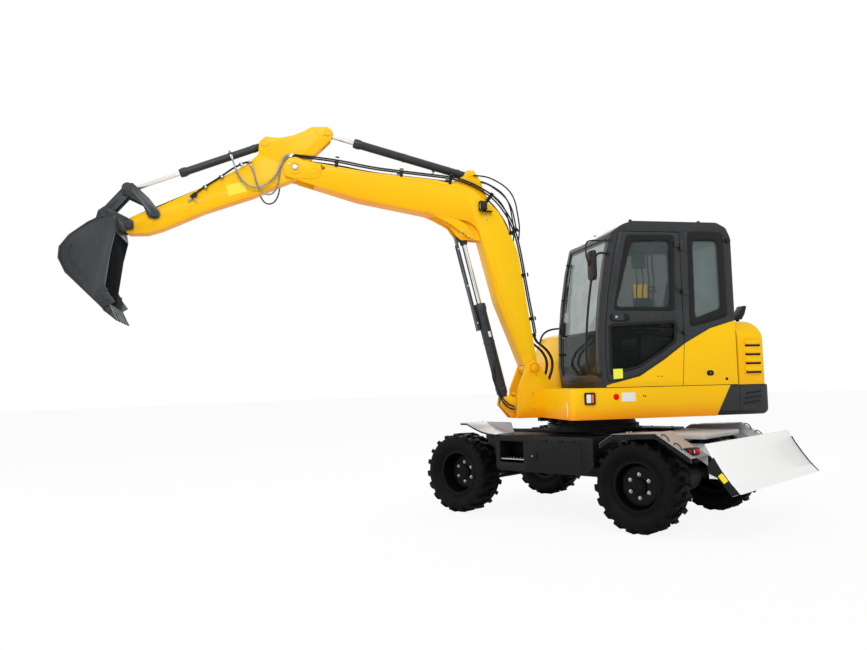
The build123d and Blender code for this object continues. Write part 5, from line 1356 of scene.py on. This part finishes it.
lampZ = fenderZ(-1478)
lens, clearLens = bmesh.new(), bmesh.new()
for side, outwards in bothSides:
    for x in (-1262, -1372):
        ends = [(x + 34, fenderZ(x + 34)), (x + 30, fenderZ(x + 30) + 22), (x, fenderZ(x) + 30),
                (x - 30, fenderZ(x - 30) + 22), (x - 34, fenderZ(x - 34))]
        run([(u, side * 905, z) for u, z in ends], 5, 3, 8)
    housing = sidePlate(((-1392, fenderZ(-1392) + 1), (-1480, fenderZ(-1480) + 1), (-1487, lampZ + 50),
                         (-1474, lampZ + 62), (-1448, lampZ + 62)), side * 800 - 66, 132, 5)
    roundOff(housing, 4, lambda item: item.calc_face_angle(0) > 0.6)
    put(housing)
    back = facing((-0.99, 0, 0.12), (-1484, side * 800, lampZ + 32))
    put(plate(126, 48, 4, 8, 2), place=back)
    joinInto(lens, plate(84, 38, 8, 16, 3.5), back @ Matrix.Translation((side * 16, 0, 0)))
    joinInto(clearLens, plate(20, 30, 6, 6, 2.5), back @ Matrix.Translation((side * -44, 0, 0)))
    joinInto(lens, plate(16, 30, 4, 5, 1.5), facing(outwards, (-1462, side * 866, lampZ + 34)))
addPiece("tailLampHousings", "chassis", "plastic", replaced=["tail_lamps"])
addPiece("tailLampLenses", "chassis", "red", bm=lens)
addPiece("tailLampClears", "chassis", "clear", bm=clearLens)

# dark side lips of the rear fenders, the rolled edge under the front ones, and their bolts:
# name, top line, height, from, depth, edge
lipTable = (
    ("fenderLips", ((-642, 776), (-776, 863), (-1190, 880), (-1500, 685)), 44, 945.2, 0.8, 0),
    ("fenderEdges", ((1016, 929), (931, 929), (841, 890), (741, 853), (641, 833), (541, 825.5)), 15, 929, 16,
     3),
)
for name, line, height, out, depth, edge in lipTable:
    low = tuple((x, z - height) for x, z in reversed(line))
    platePair(line + low, out, depth, 0, edge)
    addPiece(name, "chassis", "box")
for side in (1, -1):
    for x in (-790, -1170):
        for y in (640, 700):
            put(bolt(8, 6), top, (x, side * y, fenderZ(x) + 0.3))
    for x, z in ((640, 839), (740, 859), (960, 934.3)):
        put(bolt(7, 5), top, (x, side * 640, z))
addPiece("fenderBolts", "chassis", "steel")

# dozer blade: worn cutting edge, dark gussets, blank stickers, ribs on the back
platePair(((-1694, 706), (-1645, 650), (-1640, 575), (-1712, 545), (-1828, 404), (-1893, 426), (-1826, 505),
           (-1756, 600)), 946.4, 1.4, 3, 0.5)
for y in (-700, -420, 0, 420, 700):
    put(sidePlate(((-1668, 706), (-1640, 650), (-1640, 575), (-1700, 560), (-1790, 470), (-1800, 508),
                   (-1738, 600)), y - 6, 12))
put(plate(1880, 66, 10, 3, 2), (1, 0, -0.95), (-1856, 0, 448))
addPiece("bladeBack", "dozer_blade", "black")
put(sidePlate(((-1836, 500), (-1842, 494), (-1908, 425.5), (-1900, 425.2), (-1886, 425.5)), -944, 1888))
addPiece("cuttingEdge", "dozer_blade", "bladeWhite")
# dark strip down the right-hand end of the face
put(sidePlate(((-1670, 752), (-1698, 700), (-1762, 600), (-1832, 505), (-1905, 425), (-1908, 431),
               (-1837, 510), (-1768, 604), (-1704, 703), (-1678, 754)), -945, 13))
addPiece("bladeEdgeStrip", "dozer_blade", "black")
platePair(((-1771, 498), (-1805, 526), (-1757, 584), (-1723, 556)), 947.9, 0.8, 5)
addPiece("bladeStickers", "dozer_blade", "sticker")
putPair(disc(30, 8, 2, 28), (-680, 326, 720))
putPair(bolt(8, 6), (-700, 326, 720))
addPiece("bladePins", "chassis", "steel")
print("blade dressed")


# floor, light and camera
studio = {"floor": (0.93, 0.93, 0.925, 1), "world": 0.66, "key": 430, "fill": 190, "rim": 240, "lift": 0.9}
bpy.ops.mesh.primitive_plane_add(size=120)
floor = bpy.context.object
floor.name = "studioFloor"
floorLook, tree, shader = newMaterial("paleFloor")
shader["Base Color"].default_value = studio["floor"]
shader["Roughness"].default_value = 0.9
# seen directly the floor is lifted towards white, and it keeps the shadow
glow = addNode(tree, "ShaderNodeEmission", Color=(1, 1, 1, 1), Strength=1.0)
path = addNode(tree, "ShaderNodeLightPath").outputs
share = reckon(tree, "MULTIPLY", path["Is Camera Ray"], studio["lift"])
links = ((share, "Fac"), (tree.nodes["Principled BSDF"].outputs[0], 1), (glow.outputs[0], 2))
blend = addNode(tree, "ShaderNodeMixShader", links)
tree.links.new(blend.outputs[0], tree.nodes["Material Output"].inputs["Surface"])
floor.data.materials.append(floorLook)

world = bpy.data.worlds.new("studioWorld")
bpy.context.scene.world = world
world.use_nodes = True
tree = world.node_tree
sky = tree.nodes["Background"].inputs
path = addNode(tree, "ShaderNodeLightPath").outputs
seen = reckon(tree, "MAXIMUM", path["Is Camera Ray"], path["Is Glossy Ray"])
seenAll = reckon(tree, "MAXIMUM", seen, path["Is Transmission Ray"])
tree.links.new(ranged(tree, seenAll, To_Min=studio["world"], To_Max=1.0), sky["Strength"])
sky["Color"].default_value = (1, 1, 1, 1)


def areaLight(name, place, aim, size, power):
    light = bpy.data.lights.new(name, "AREA")
    light.shape = "DISK"
    light.size = size
    light.energy = power
    lamp = bpy.data.objects.new(name, light)
    lamp.location = place
    lamp.rotation_euler = (Vector(aim) - Vector(place)).to_track_quat("-Z", "Y").to_euler()
    bpy.context.scene.collection.objects.link(lamp)


areaLight("keyLight", (-5.5, 8.0, 8.5), (0.3, 0.8, 1.4), 5.0, studio["key"])
areaLight("fillLight", (6.5, 8.5, 5.0), (0.3, 0.8, 1.4), 6.0, studio["fill"])
areaLight("rimLight", (4.0, -7.0, 7.0), (0.0, 0.5, 1.6), 6.0, studio["rim"])

# camera: place in metres, yaw, pitch and roll in degrees
view = {"place": (-4.3674, 7.0772, 1.3543), "yaw": -46.92, "pitch": 4.33, "roll": -1.38, "lens": 32.08}
yaw, pitch, roll = (math.radians(view[key]) for key in ("yaw", "pitch", "roll"))
look = Vector((math.cos(pitch) * math.cos(yaw), math.cos(pitch) * math.sin(yaw), math.sin(pitch)))
level = look.cross(Vector(top)).normalized()
above = level.cross(look)
across = level * math.cos(roll) + above * math.sin(roll)
upward = above * math.cos(roll) - level * math.sin(roll)
lens = bpy.data.cameras.new("studioCamera")
lens.lens = view["lens"]
lens.sensor_width = 36
camera = bpy.data.objects.new("studioCamera", lens)
turn = Matrix((across, upward, -look)).transposed().to_4x4()
camera.matrix_world = Matrix.Translation(view["place"]) @ turn
bpy.context.scene.collection.objects.link(camera)
bpy.context.scene.camera = camera
bpy.context.scene.view_settings.view_transform = "Standard"
print("studio ready")
